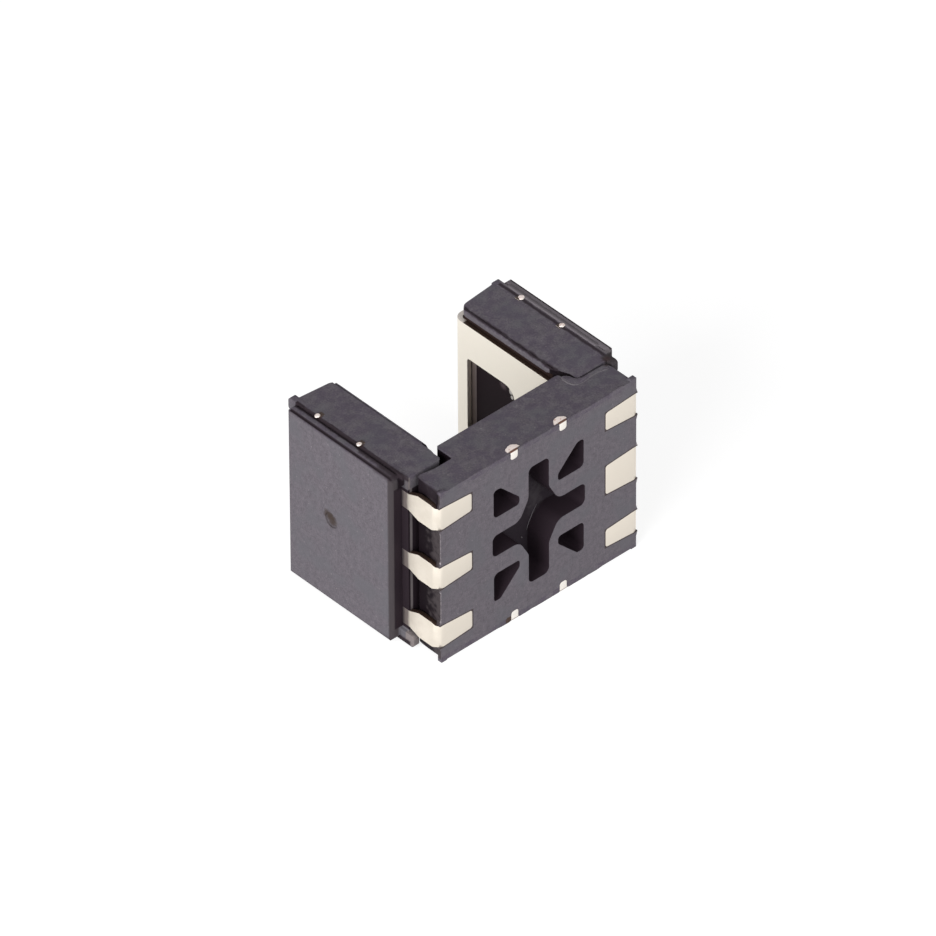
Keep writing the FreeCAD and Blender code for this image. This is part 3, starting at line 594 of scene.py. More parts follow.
# %% Window finishes
WINDOW_TONE = (0.0125, 0.0056, 0.0085, 1)
WINDOW_SIDE = (0.165, 0.132, 0.124, 1)
WINDOW_FOOT = (0.185, 0.152, 0.150, 1)
WINDOW_REFLECTION_TONE = (0.62, 0.59, 0.56, 1)
WINDOW_SHEEN = (0.095, 0.068, 0.078, 1)
WINDOW_GLOSS, REFLECTION_GLOSS = 0.35, 0.4
WINDOWS = (1.58, 2.20, -0.90), (1.68, 3.62, 0.90)
TIP_WALLS = (1.58, 3.47, -0.90), (1.68, 3.62, 0.90)
TIP_FEET = (1.58, 3.435, -0.90), (1.68, 3.470, 0.90)
SHEEN_PLACE = (1.63, 2.72, 0.61), (0.12, 0.12, 0.12)
PAINTED_REFLECTIONS = (
    ((1.63, 2.510, 0.600), (0.12, 0.058, 0.090)),
    ((1.63, 2.480, 0.465), (0.12, 0.042, 0.050)),
)


def window_zones(finish):
    """The polished window, its paler tip side, and a painted sheen and two painted reflections in
    one corner.
    """
    finish.zone(*WINDOWS, WINDOW_TONE, WINDOW_GLOSS, soft=0.004)
    finish.zone(*TIP_WALLS, WINDOW_SIDE, SATIN, soft=0.010)
    finish.zone(*TIP_FEET, WINDOW_FOOT, SATIN, soft=0.012)
    # A painted sheen in one corner of the receiving arm's window.
    finish.blob(*SHEEN_PLACE, WINDOW_SHEEN, REFLECTION_GLOSS, ragged=0.5, core=0.0)
    # Two painted reflections in the same corner.
    for centre, reach in PAINTED_REFLECTIONS:
        finish.blob(centre, reach, WINDOW_REFLECTION_TONE, REFLECTION_GLOSS, ragged=0.3, core=0.5)


print("window finishes ready,", len(PAINTED_REFLECTIONS), "marks")

# %% [markdown]
# ## Lines and dust along the arms' sides
#
# Fine grooves run along the sides, where the mould halves met and beside both faces, and the
# dark lines along them are painted shade in the grooves. Brown dust sits around the cut tie bars.
# The two arms differ, so each has a function of its own: the emitting arm has one broad dark line
# of painted shade that spreads towards its root, the receiving arm a paler outer band, a painted
# highlight on its raised edge, between thin lines. Most of the lines use the wandering
# coordinates, so their borders aren't ruled.

# %% Side finishes
GROOVE_SHADE = (0.032, 0.024, 0.029, 1)
FAINT_GROOVE_SHADE = (0.095, 0.082, 0.088, 1)
BAND_HIGHLIGHT = (0.215, 0.192, 0.208, 1)
BURR_BROWN = (0.040, 0.017, 0.013, 1)
BURR_Y_PLACES = (2.060, 3.165)
BURR_DUST_Z = 1.945
EMITTER_DUST = -2.475, (0.085, 0.095, 0.06), 0.9
RECEIVER_DUST = 2.440, (0.075, 0.085, 0.06), 0.7
EMITTER_PARTING = (  # box, soft border, share
    (((2.488, 0.70, 1.86), (2.612, 3.74, 2.0)), 0.018, 1.0),
    (((2.500, 0.70, 1.86), (2.650, 1.95, 2.0)), 0.030, 0.8),
    (((2.480, 0.70, 1.86), (2.735, 1.40, 2.0)), 0.060, 0.7),
)
EMITTER_OUTER_LINE = (2.686, 0.98, 1.865), (2.744, 3.68, 1.925)
RECEIVER_HIGHLIGHT_BAND = (2.505, 0.90, 1.86), (2.80, 3.78, 2.0)
RECEIVER_PARTING = (2.425, 0.80, 1.90), (2.492, 3.72, 2.0)
RECEIVER_OUTER_LINE = (2.688, 1.00, 1.865), (2.740, 3.66, 1.915)
RECEIVER_FACE_LINE = (1.512, 1.02, 1.888), (1.588, 3.70, 1.960)
RECEIVER_ROOT = (2.36, 0.62, 1.68), (2.62, 0.90, 2.00)
RECEIVER_ROOT_DUST = (2.42, 0.80, 1.95), (0.11, 0.09, 0.08)


def burr_dust(finish, x, reach, share):
    """Brown dust around the two cut tie bars on an arm's upper side."""
    for y in BURR_Y_PLACES:
        finish.blob((x, y, BURR_DUST_Z), reach, BURR_BROWN, ragged=0.6, core=0.3, share=share)


def emitter_sides(finish):
    """One broad line of painted shade that spreads towards the root, and a thin one at the outer
    face.
    """
    # The broad dark line is painted shade in the parting groove.
    for box, soft, share in EMITTER_PARTING:
        finish.zone(*box, GROOVE_SHADE, DUSTY, soft=soft, loose=True, share=share)
    burr_dust(finish, *EMITTER_DUST)
    # The thin line at the outer face is painted shade in its groove.
    finish.zone(*EMITTER_OUTER_LINE, GROOVE_SHADE, DUSTY, soft=0.010)


def receiver_sides(finish):
    """A paler outer band painted as a highlight, thin lines of painted shade beside it and at both
    faces, and a darker root corner with brown dust.
    """
    burr_dust(finish, *RECEIVER_DUST)
    # A paler band painted as a highlight on the raised outer edge.
    finish.zone(*RECEIVER_HIGHLIGHT_BAND, BAND_HIGHLIGHT, DULL, relief=FULL_RELIEF, soft=0.02, share=0.7)
    # Thin lines of painted shade in the parting groove, beside the outer face and at the slot face.
    finish.zone(*RECEIVER_PARTING, GROOVE_SHADE, DUSTY, soft=0.022, loose=True, share=0.9)
    finish.zone(*RECEIVER_OUTER_LINE, FAINT_GROOVE_SHADE, DUSTY, soft=0.008)
    finish.zone(*RECEIVER_FACE_LINE, GROOVE_SHADE, DUSTY, soft=0.018, loose=True)
    finish.spot(*RECEIVER_ROOT, ROOT_EDGE_TONE, DUSTY, soft=0.03)
    finish.blob(*RECEIVER_ROOT_DUST, BROWN_TONE, ragged=1.2, core=0.2, share=0.8)


print("side finishes ready for tie bars at Y in mm:", BURR_Y_PLACES)

# %% [markdown]
# ## The arms
#
# The arms are the same resin as the base. The strip of seat beside the shield is painted shade.
# On the outer face the gate, where the resin was let in, broke off and left a brownish scar, made
# here of three blobs that overlap. With these last coats the two arm materials are complete.

# %% Arm materials
OUTER_X = 2.75
STEP_SHADE = (0.030, 0.018, 0.016, 1)
STEP_FROM_X = {"receiver": 1.506, "emitter": 1.566}
STEP_TO_X = 1.62
SCAR_TONE = (0.056, 0.042, 0.036, 1)
SCAR_DEPTH = 0.08
SCAR_PATCHES = ((2.65, 0.07, 0.15), (2.60, 0.01, 0.17), (2.56, -0.05, 0.15))  # Y, Z and reach


def arm_material(name, arm, side_finish):
    """Arm resin with its window, painted shade beside the shield, side lines and gate scar."""
    material, shader, grain, finish = start_resin(name)
    strip = (STEP_FROM_X[arm], 1.30, 1.55), (STEP_TO_X, 3.80, 1.785)
    # Painted shade on the strip of seat beside the shield.
    finish.zone(*strip, STEP_SHADE, SATIN, soft=0.004)
    window_zones(finish)
    root_zones(finish)
    side_finish(finish)
    outer_x = OUTER_X if arm == "receiver" else -OUTER_X
    for y, z, reach in SCAR_PATCHES:
        finish.blob((outer_x, y, z), (SCAR_DEPTH, reach, reach), SCAR_TONE,
                    ragged=0.5, core=0.4, share=0.75)
    end_resin(shader, grain, finish)
    return material


receiver_resin = arm_material("receiver_resin", "receiver", receiver_sides)
emitter_resin = arm_material("emitter_resin", "emitter", emitter_sides)
print("made", receiver_resin.name, "and", emitter_resin.name)

# %% [markdown]
# ## Tinned sheet
#
# Leads and shields are one thin copper sheet, tinned on both faces before it is cut out. The faces
# are a warm satin white; the shields are painted a lighter tin as light, and the pads a darker tin
# as shade. The cut edges show bare copper that has turned brown. The sheet only bends about the Z
# direction, so a cut edge is wherever the surface looks up or down along Z: the normal tells the
# two finishes apart. At the fold over the arm's tip the cut edges are given a pale tone. Near the
# arms a thin film of resin has crept over the metal.

# %% Tinned sheet material
TIN_TONE = (0.80, 0.735, 0.645, 1)
TIN_DULL = (0.755, 0.69, 0.60, 1)
PAD_SHADED_TONE = (0.695, 0.637, 0.557, 1)
SHIELD_LIT_TONE = (0.85, 0.80, 0.71, 1)
COPPER_EDGE = (0.036, 0.020, 0.014, 1)
COPPER_BRIGHT = (0.24, 0.105, 0.062, 1)
CUT_BRIGHT = (0.62, 0.57, 0.53, 1)
FILM_TONE = (0.136, 0.112, 0.105, 1)
FILM_DARK = (0.040, 0.032, 0.034, 1)
FINE_SIZE = 0.02 * MM
BROAD_SIZE = 0.25 * MM
TIN_RELIEF = 0.0012 * MM
TIN_ROUGHNESS, FLAT_ROUGHNESS, EDGE_ROUGHNESS = (0.38, 0.52), 0.45, 0.55
TIN_METALLIC, EDGE_METALLIC = 0.85, 0.3
TIN_RANGE = (0.35, 0.65)
EDGE_TURN = (0.35, 0.75)
COPPER_RANGE = (0.58, 0.74, 0.0, 0.45)
SHIELDS = (1.40, 1.10, -1.70), (1.62, 4.00, 1.70)
PADS = (1.50, -0.05, -2.0), (2.40, 0.03, 2.0)
FOLDS = (1.40, 3.66, -1.70), (2.60, 4.00, 1.70)
FILM_START = (0.74 * MM, 0.82 * MM)
FILM_DARKENS = (0.86 * MM, 0.95 * MM)
FILM_END = (1.20 * MM, 1.21 * MM)
FILM_WANDER = 0.06 * MM


def faces_along(tree, axis):
    """How far the surface looks along an axis: 1 along it, 0 across it, -1 against it."""
    normal = tree.nodes.new("ShaderNodeNewGeometry").outputs["True Normal"]
    return axes(tree, normal)["XYZ".index(axis)]


def resin_film(tree, place, broad):
    """Where the film lies on the leads, and its tone, which darkens towards the arm."""
    height = maths(tree, "ADD", axes(tree, place)[1], centred(tree, broad, FILM_WANDER))
    above, below = ramp(tree, height, *FILM_START), ramp(tree, height, *FILM_END, 1.0, 0.0)
    tone = blend(tree, ramp(tree, height, *FILM_DARKENS), FILM_TONE, FILM_DARK)
    return maths(tree, "MULTIPLY", above, below), tone


def sheet_material(name):
    """Satin tin, lighter as painted light on the shields and darker as painted shade on the pads,
    brown copper on the cut edges, a resin film at the arms.
    """
    material, tree, shader, place = start_material(name)
    fine = noise(tree, place, FINE_SIZE)
    broad = noise(tree, place, BROAD_SIZE, detail=3.0)
    colour = blend(tree, ramp(tree, broad, *TIN_RANGE), TIN_DULL, TIN_TONE)
    finish = Finish(tree, place, colour, ramp(tree, fine, *MIDDLE, *TIN_ROUGHNESS))
    # A lighter tin painted on the shields as light.
    finish.zone(*SHIELDS, SHIELD_LIT_TONE, FLAT_ROUGHNESS, relief=FULL_RELIEF)
    # A darker tin painted on the pads as shade.
    finish.zone(*PADS, PAD_SHADED_TONE, FLAT_ROUGHNESS, relief=FULL_RELIEF, soft=0.02, share=0.9)
    edge = ramp(tree, maths(tree, "ABSOLUTE", faces_along(tree, "Z")), *EDGE_TURN)
    copper = blend(tree, ramp(tree, fine, *COPPER_RANGE), COPPER_EDGE, COPPER_BRIGHT)
    # The cut edges at the folds over the arms' tips get a pale tone.
    copper = blend(tree, box_mask(tree, finish.folded, *FOLDS, soft=0.02), copper, CUT_BRIGHT)
    finish.cover(edge, copper, EDGE_ROUGHNESS)
    film, film_tone = resin_film(tree, place, broad)
    finish.cover(film, film_tone, SATIN)
    metallic = ramp(tree, edge, 0.0, 1.0, TIN_METALLIC, EDGE_METALLIC)
    metallic = maths(tree, "MULTIPLY", metallic, maths(tree, "SUBTRACT", 1.0, film))
    paint(tree, shader, finish.colour, finish.roughness, metallic)
    bump(tree, fine, TIN_RELIEF, shader)
    return material


tinned_sheet = sheet_material("tinned_sheet")
print("made", tinned_sheet.name)

# %% [markdown]
# ## Sheared ends
#
# The strip that carried the leads through the factory was cut away last. Each cut leaves a small
# bright stub with a pink cast, where fresh copper shows through the smeared tin. The base's tie
# bars are tin in front, where they lie in the solder face, and copper above, where they were cut.

# %% Cut end material
SMEAR_TONE = (0.86, 0.76, 0.72, 1)
SMEAR_COPPER = (0.60, 0.40, 0.33, 1)
STUB_TIN = (0.82, 0.78, 0.73, 1)
CUT_LINE_TONE = (0.14, 0.065, 0.045, 1)
SMEAR_GRAIN = 0.05 * MM
SMEAR_RELIEF = 0.002 * MM
SMEAR_ROUGHNESS = (0.35, 0.55)
SMEAR_METALLIC = 0.7
FRONT_TURN = (-0.8, -0.4, 1.0, 0.0)
CUT_LINES = (0.40, -0.01, 1.968), (0.80, 0.036, 2.01)


def cut_end_material(name, copper_range):
    """Tin smeared over fresh copper; more copper shows where the noise falls low."""
    material, tree, shader, place = start_material(name)
    smeared = noise(tree, place, SMEAR_GRAIN)
    front = ramp(tree, faces_along(tree, "Y"), *FRONT_TURN)
    line = box_mask(tree, fold(tree, place), *CUT_LINES, soft=0.008)
    colour = blend(tree, ramp(tree, smeared, *copper_range), SMEAR_COPPER, SMEAR_TONE)
    colour = blend(tree, line, blend(tree, front, colour, STUB_TIN), CUT_LINE_TONE)
    roughness = ramp(tree, smeared, *MIDDLE, *SMEAR_ROUGHNESS)
    paint(tree, shader, colour, roughness, SMEAR_METALLIC)
    bump(tree, smeared, SMEAR_RELIEF, shader)
    return material


cut_sheet = cut_end_material("cut_sheet", (0.40, 0.56))
burr_metal = cut_end_material("burr_metal", (0.30, 0.46))
print("made", cut_sheet.name, "and", burr_metal.name)

# %% [markdown]
# ## Chips, glue and wire
#
# Nobody sees these inside the closed arms, but they are real pieces and they get real finishes:
# polished dark silicon, dull silver-filled glue and drawn gold wire. The three are made alike, with
# one noise between two tones, so one function and a row of numbers for each will do.

# %% Inner materials
INNER_FINISHES = (
    # name, grain in mm, its detail, two tones, roughness, metallic, relief in mm
    ("chip", 0.2, 1.0, (0.02, 0.022, 0.04, 1), (0.05, 0.045, 0.07, 1), (0.08, 0.16), 0.4, 0.0),
    ("chip_glue", 0.012, 2.0, (0.38, 0.37, 0.36, 1), (0.62, 0.61, 0.6, 1), (0.35, 0.7), 0.6, 0.002),
    ("bond_wire", 0.006, 1.0, (0.85, 0.6, 0.22, 1), (0.95, 0.72, 0.32, 1), (0.18, 0.3), 1.0, 0.0),
)


def inner_material(name, size, detail, first, second, roughness, metallic, relief):
    """Two tones drifting into each other, with a roughness that drifts along."""
    material, tree, shader, place = start_material(name)
    drift = noise(tree, place, size * MM, detail)
    colour = blend(tree, drift, first, second)
    paint(tree, shader, colour, ramp(tree, drift, *MIDDLE, *roughness), metallic)
    if relief:
        bump(tree, drift, relief * MM, shader)
    return material


chip_finish, glue_finish, wire_finish = [inner_material(*row) for row in INNER_FINISHES]
print("made", chip_finish.name, glue_finish.name, wire_finish.name)

# %% [markdown]
# ## Smooth edges on the CAD nodes
#
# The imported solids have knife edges, and no moulded or stamped edge is that sharp: a real one
# catches a thin line of light. A Weld joins the split corners, a planar Decimate clears the
# triangles off flat faces, a Bevel breaks the edges by a hundredth of a millimetre, and a small
# node group shades the round stretches smooth and keeps the flats flat.

# %% Edge tools
SHARP_ANGLE = math.radians(32)
BEVEL_ANGLE = math.radians(28)
FLAT_ANGLE = math.radians(0.6)
WELD_REACH = 0.00001 * MM
BEVEL_SEGMENTS = 2


def smooth_group():
    """Geometry nodes that shade smooth, except across edges sharper than an angle."""
    group = bpy.data.node_groups.new("smooth_below_angle", "GeometryNodeTree")
    for direction in ("INPUT", "OUTPUT"):
        group.interface.new_socket("Geometry", in_out=direction, socket_type="NodeSocketGeometry")
    start, end = group.nodes.new("NodeGroupInput"), group.nodes.new("NodeGroupOutput")
    faces = group.nodes.new("GeometryNodeSetShadeSmooth")
    edges = group.nodes.new("GeometryNodeSetShadeSmooth")
    edges.domain = "EDGE"
    edges.inputs["Shade Smooth"].default_value = False
    angle = group.nodes.new("GeometryNodeInputMeshEdgeAngle")
    sharper = group.nodes.new("FunctionNodeCompare")
    sharper.operation = "GREATER_THAN"
    sharper.inputs["B"].default_value = SHARP_ANGLE
    group.links.new(start.outputs[0], faces.inputs["Geometry"])
    group.links.new(faces.outputs[0], edges.inputs["Geometry"])
    group.links.new(angle.outputs["Unsigned Angle"], sharper.inputs["A"])
    group.links.new(sharper.outputs[0], edges.inputs["Selection"])
    group.links.new(edges.outputs[0], end.inputs[0])
    return group


SMOOTH = smooth_group()


def soften(obj, width):
    """Break a piece's sharp edges by a width in millimetres and shade it."""
    weld = obj.modifiers.new("weld", "WELD")
    weld.merge_threshold = WELD_REACH
    flat = obj.modifiers.new("flat", "DECIMATE")
    flat.decimate_type = "DISSOLVE"
    flat.angle_limit = FLAT_ANGLE
    if width:
        edge = obj.modifiers.new("edge", "BEVEL")
        edge.width = width * MM
        edge.segments = BEVEL_SEGMENTS
        edge.limit_method = "ANGLE"
        edge.angle_limit = BEVEL_ANGLE
        edge.miter_outer = "MITER_ARC"
    shade = obj.modifiers.new("shade", "NODES")
    shade.node_group = SMOOTH
    lean = obj.modifiers.new("lean", "WEIGHTED_NORMAL")
    lean.keep_sharp = True


print("edge tools ready")

# %% [markdown]
# ## Dress every node
#
# One table says which finish each node takes and how much its edges are broken. The mouldings
# have the softest edges, the stamped sheet is crisper, and the tiny inner pieces need none.

# %% Dress the nodes
BASE_EDGE, ARM_EDGE, TIE_EDGE, SHEET_EDGE, NO_EDGE = 0.014, 0.012, 0.012, 0.006, 0.0
FINISHES = (
    ("base_moulding", base_resin, BASE_EDGE),
    ("receiver_arm", receiver_resin, ARM_EDGE),
    ("emitter_arm", emitter_resin, ARM_EDGE),
    ("base_tie_bar", cut_sheet, TIE_EDGE),
    ("receiver_output_lead", tinned_sheet, SHEET_EDGE),
    ("receiver_shield_lead", tinned_sheet, SHEET_EDGE),
    ("emitter_lead", tinned_sheet, SHEET_EDGE),
    ("emitter_shield_lead", tinned_sheet, SHEET_EDGE),
    ("detector_chip", chip_finish, NO_EDGE),
    ("emitter_chip", chip_finish, NO_EDGE),
    ("detector_glue", glue_finish, NO_EDGE),
    ("emitter_glue", glue_finish, NO_EDGE),
    ("detector_wire", wire_finish, NO_EDGE),
    ("emitter_wire", wire_finish, NO_EDGE),
)


def dress(obj, material, width):
    """Give a node its finish in every slot and break its edges."""
    while len(obj.material_slots) > 1:
        obj.data.materials.pop()
    if not obj.material_slots:
        obj.data.materials.append(material)
    obj.material_slots[0].material = material
    soften(obj, width)


for name, obj in sorted(nodes.items()):
    for start, material, width in FINISHES:
        if name.startswith(start):
            dress(obj, material, width)
            print(f"{name:28s} {material.name}")
            break
    else:
        raise RuntimeError(f"no finish for {name}")

# %% [markdown]
# ## New pieces
#
# Moulding and cutting leave pieces that no drawing shows: burrs, flash and smears. Each is built in
# mesh code, because none of Blender's ready shapes is uneven enough. One helper joins two rings
# of points with faces, one turns a finished mesh into an object that rides on the part, and one
# rounds it with a level of subdivision.

# %% Tools for new pieces
def bridge(shape, low, high):
    """A band of faces between two rings with the same number of points."""
    for index in range(len(low)):
        after = (index + 1) % len(low)
        shape.faces.new((low[index], low[after], high[after], high[index]))


def new_piece(name, mesh_data, material):
    """Turn a bmesh into a smooth-shaded piece that rides on the part."""
    mesh = bpy.data.meshes.new(name)
    bmesh.ops.recalc_face_normals(mesh_data, faces=mesh_data.faces)
    for face in mesh_data.faces:
        face.smooth = True
    mesh_data.to_mesh(mesh)
    mesh_data.free()
    mesh.materials.append(material)
    piece = bpy.data.objects.new(name, mesh)
    bpy.context.scene.collection.objects.link(piece)
    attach(piece, "root")
    return piece


def round_off(piece):
    """One level of subdivision, which rounds the facets."""
    rounder = piece.modifiers.new("rounder", "SUBSURF")
    rounder.levels = rounder.render_levels = 1


print("tools for new pieces ready")

# %% [markdown]
# ## Burrs on the cut tie bars
#
# Where the shear left the arms' tie bars, the soft tin was dragged into a small round burr. A
# scaled ball would look too regular, so the burr is built ring by ring: each ring is higher and
# narrower than the last, and every point wanders a little in or out.

# %% Burrs
BURR_RINGS = 4
BURR_POINTS = 14
BURR_WANDER = 0.16
BURR_FACE_Z = 1.945
BURRS = (
    # name, centre, half width along X and Y, height, seed
    ("receiver_upper_lead_burr", (2.475, 2.055, BURR_FACE_Z), 0.075, 0.060, 0.040, 3),
    ("receiver_upper_shield_burr", (2.480, 3.140, BURR_FACE_Z), 0.072, 0.066, 0.042, 5),
    ("receiver_lower_lead_burr", (2.480, 2.080, -BURR_FACE_Z), 0.070, 0.058, 0.038, 7),
    ("receiver_lower_shield_burr", (2.480, 3.170, -BURR_FACE_Z), 0.070, 0.060, 0.040, 9),
    ("emitter_upper_lead_burr", (-2.505, 2.065, BURR_FACE_Z), 0.066, 0.056, 0.040, 11),
    ("emitter_upper_shield_burr", (-2.515, 3.175, BURR_FACE_Z), 0.072, 0.060, 0.042, 13),
    ("emitter_lower_lead_burr", (-2.480, 2.080, -BURR_FACE_Z), 0.068, 0.058, 0.038, 15),
    ("emitter_lower_shield_burr", (-2.480, 3.170, -BURR_FACE_Z), 0.070, 0.060, 0.040, 17),
)


def burr(name, centre, half_x, half_y, height, seed):
    """A low, uneven dome on a face that looks along Z; all sizes in millimetres."""
    chance = random.Random(seed)
    side = 1 if centre[2] > 0 else -1
    shape = bmesh.new()
    wander = [1 + chance.uniform(-BURR_WANDER, BURR_WANDER) for _ in range(BURR_POINTS)]
    rings = []
    for step in range(BURR_RINGS):
        climb = math.pi / 2 * step / BURR_RINGS
        ring = []
        for index in range(BURR_POINTS):
            turn = 2 * math.pi * index / BURR_POINTS
            reach = math.cos(climb) * wander[index]
            ring.append(shape.verts.new((
                (centre[0] + half_x * reach * math.cos(turn)) * MM,
                (centre[1] + half_y * reach * math.sin(turn)) * MM,
                (centre[2] + side * height * math.sin(climb)) * MM)))
        rings.append(ring)
    top = shape.verts.new((centre[0] * MM, centre[1] * MM, (centre[2] + side * height) * MM))
    for low, high in zip(rings, rings[1:]):
        bridge(shape, low, high)
    for index in range(BURR_POINTS):
        shape.faces.new((rings[-1][index], rings[-1][(index + 1) % BURR_POINTS], top))
    shape.faces.new(rings[0])
    round_off(new_piece(name, shape, burr_metal))


for row in BURRS:
    burr(*row)
print(len(BURRS), "burrs")

# %% [markdown]
# ## Tools for flash
#
# Resin creeps out of every closed seam of a mould and sets as flash, a thin and wavy lip. Three
# shapes cover what this part has. A slab is a flat outline, drawn point by point and given a
# thickness. A ribbon is a strip through a row of sections. A bead is a ribbon with round sections
# that follow a path.

# %% Flash tools
SLAB_EDGE = 0.012
BEAD_SIDES = 6
BEAD_WANDER = 0.25
BEAD_TAPER = 0.35
flash_resin = base_material("flash_resin")


def slab(name, outline, low_z, high_z, material):
    """A flat outline given in millimetres, with a thickness along Z and soft edges."""
    shape = bmesh.new()
    bottom = [shape.verts.new((x * MM, y * MM, low_z * MM)) for x, y in outline]
    top = [shape.verts.new((x * MM, y * MM, high_z * MM)) for x, y in outline]
    shape.faces.new(bottom)
    shape.faces.new(top)
    bridge(shape, bottom, top)
    piece = new_piece(name, shape, material)
    soften(piece, SLAB_EDGE)


def ribbon(name, sections, material):
    """A closed strip through a row of sections, each a ring of points in millimetres."""
    shape = bmesh.new()
    rows = [[shape.verts.new([value * MM for value in point]) for point in section]
            for section in sections]
    for first, second in zip(rows, rows[1:]):
        bridge(shape, first, second)
    shape.faces.new(rows[0])
    shape.faces.new(rows[-1])
    return new_piece(name, shape, material)


def bead(name, path, radius, across, seed, material):
    """A thin uneven thread along a path that lies in the plane square to a direction."""
    chance = random.Random(seed)
    points = [Vector(point) for point in path]
    across = Vector(across)
    sections = []
    for index, point in enumerate(points):
        along = points[min(index + 1, len(points) - 1)] - points[max(index - 1, 0)]
        beside = along.cross(across).normalized()
        taper = BEAD_TAPER if index in (0, len(points) - 1) else 1.0
        size = radius * taper * (1 + chance.uniform(-BEAD_WANDER, BEAD_WANDER))
        turns = (2 * math.pi * side / BEAD_SIDES for side in range(BEAD_SIDES))
        sections.append([point + beside * size * math.cos(turn) + across * size * math.sin(turn)
                         for turn in turns])
    round_off(ribbon(name, sections, material))


print("flash tools ready, material", flash_resin.name)

# %% [markdown]
# ## Flash at the receiving arm's heel
#
# Under the receiving arm a web of flash fills the gap between the arm's heel and the base. Its
# outline can't be had from any simple curve, so it is a slab drawn point by point. Its torn edge is
# thin enough to look pale, and a bead along the first points of the same outline shows that.

# %% Heel flash
HEEL_OUTLINE = (
    (1.46, 1.000), (1.452, 0.900), (1.450, 0.790), (1.49, 0.668), (1.56, 0.622), (1.68, 0.609),
    (1.80, 0.628), (1.92, 0.650), (2.02, 0.652), (2.10, 0.640), (2.20, 0.600), (2.27, 0.575),
    (2.318, 0.640), (2.33, 0.700), (2.22, 0.728), (2.10, 0.733), (1.95, 0.736), (1.80, 0.734),
    (1.72, 0.740), (1.655, 0.772), (1.620, 0.835), (1.605, 0.900), (1.570, 0.955), (1.52, 0.995),
)
HEEL_BACK_Z, HEEL_FACE_Z = 1.78, 1.943
HEEL_EDGE_COUNT = 13
HEEL_RIM_RADIUS = 0.027
HEEL_RIM_SUNK = 0.018
EDGE_LIGHT = (0.150, 0.137, 0.148, 1)
EDGE_RANGE = (0.30, 0.60, 0.45, 0.95)
ALONG_Y, ALONG_Z = (0, 1, 0), (0, 0, 1)


def light_edge_material(name):
    """The thin rim of a flash, where the resin is pale and clouded."""
    material, shader, grain, finish = start_resin(name)
    finish.cover(ramp(finish.tree, grain, *EDGE_RANGE), EDGE_LIGHT, SATIN)
    end_resin(shader, grain, finish)
    return material


light_edge = light_edge_material("light_edge")
slab("receiver_heel_flash", HEEL_OUTLINE, HEEL_BACK_Z, HEEL_FACE_Z, flash_resin)
heel_rim = [(x, y, HEEL_FACE_Z - HEEL_RIM_SUNK) for x, y in HEEL_OUTLINE[:HEEL_EDGE_COUNT]]
bead("receiver_heel_rim", heel_rim, HEEL_RIM_RADIUS, ALONG_Z, seed=31, material=light_edge)
print("heel flash from", len(HEEL_OUTLINE), "points, rim from", len(heel_rim))

# %% [markdown]
# ## Slivers along the solder face
#
# Along both long edges of the solder face the flash is a sliver no thicker than paper. It is a
# ribbon whose height takes small random steps, as a torn edge does, and which sinks to nothing
# beside the tie bars and at its ends.

# %% Slivers
SLIVER_FACE_Z = 1.962
SLIVER_STEPS = 46
SLIVER_HALF_LENGTH = 2.15
SLIVER_START, SLIVER_STEP, SLIVER_MOST = 0.01, 0.012, 0.030
SLIVER_SUNK, SLIVER_PROUD = 0.02, 0.006
SLIVER_FRONT_Y, SLIVER_CREST_Y, SLIVER_BACK_Y = 0.004, 0.022, 0.060
SLIVER_SLOPE = 0.8
TIE_BAR_X, TIE_BAR_CLEAR = 0.60, 0.13


def edge_sliver(name, side, seed):
    """An uneven ribbon of flash along one long edge of the solder face."""
    chance = random.Random(seed)
    height, sections = SLIVER_START, []
    foot_z, top_z = SLIVER_FACE_Z - SLIVER_SUNK, SLIVER_FACE_Z + SLIVER_PROUD
    for index in range(SLIVER_STEPS + 1):
        x = -SLIVER_HALF_LENGTH + 2 * SLIVER_HALF_LENGTH * index / SLIVER_STEPS
        near_tie = abs(abs(x) - TIE_BAR_X) < TIE_BAR_CLEAR
        height = min(SLIVER_MOST, max(0.0, height + chance.uniform(-SLIVER_STEP, SLIVER_STEP)))
        lift = 0.0 if near_tie or index in (0, SLIVER_STEPS) else height
        sections.append([(x, y, side * z) for y, z in (
            (SLIVER_FRONT_Y, foot_z), (SLIVER_FRONT_Y, top_z + lift),
            (SLIVER_CREST_Y, top_z + lift * SLIVER_SLOPE), (SLIVER_BACK_Y, foot_z))])
    ribbon(name, sections, flash_resin)


edge_sliver("upper_edge_flash", side=1, seed=21)
edge_sliver("lower_edge_flash", side=-1, seed=22)
print("2 slivers of", SLIVER_STEPS, "steps")

# %% [markdown]
# ## Ridges in the parting grooves
#
# The CAD model has a clean groove where the receiving arm's two halves meet. On the real part
# resin has nearly filled it. A low ribbon in the groove, uneven on its inner side and level with
# the arm's side, leaves only a narrow dark line.

# %% Parting ridges
RIDGE_FROM_Y, RIDGE_TO_Y, RIDGE_STEPS = 1.16, 3.62, 40
RIDGE_INNER_X, RIDGE_TOP_X, RIDGE_OUTER_X = 2.497, 2.545, 2.616
RIDGE_FOOT_Z, RIDGE_INNER_Z, RIDGE_TOP_Z, RIDGE_OUTER_Z = 1.87, 1.944, 1.953, 1.939
RIDGE_END_DROP = -0.03
RIDGE_LIFT_WANDER = 0.004
RIDGE_SIDE_WANDER = (-0.006, 0.010)


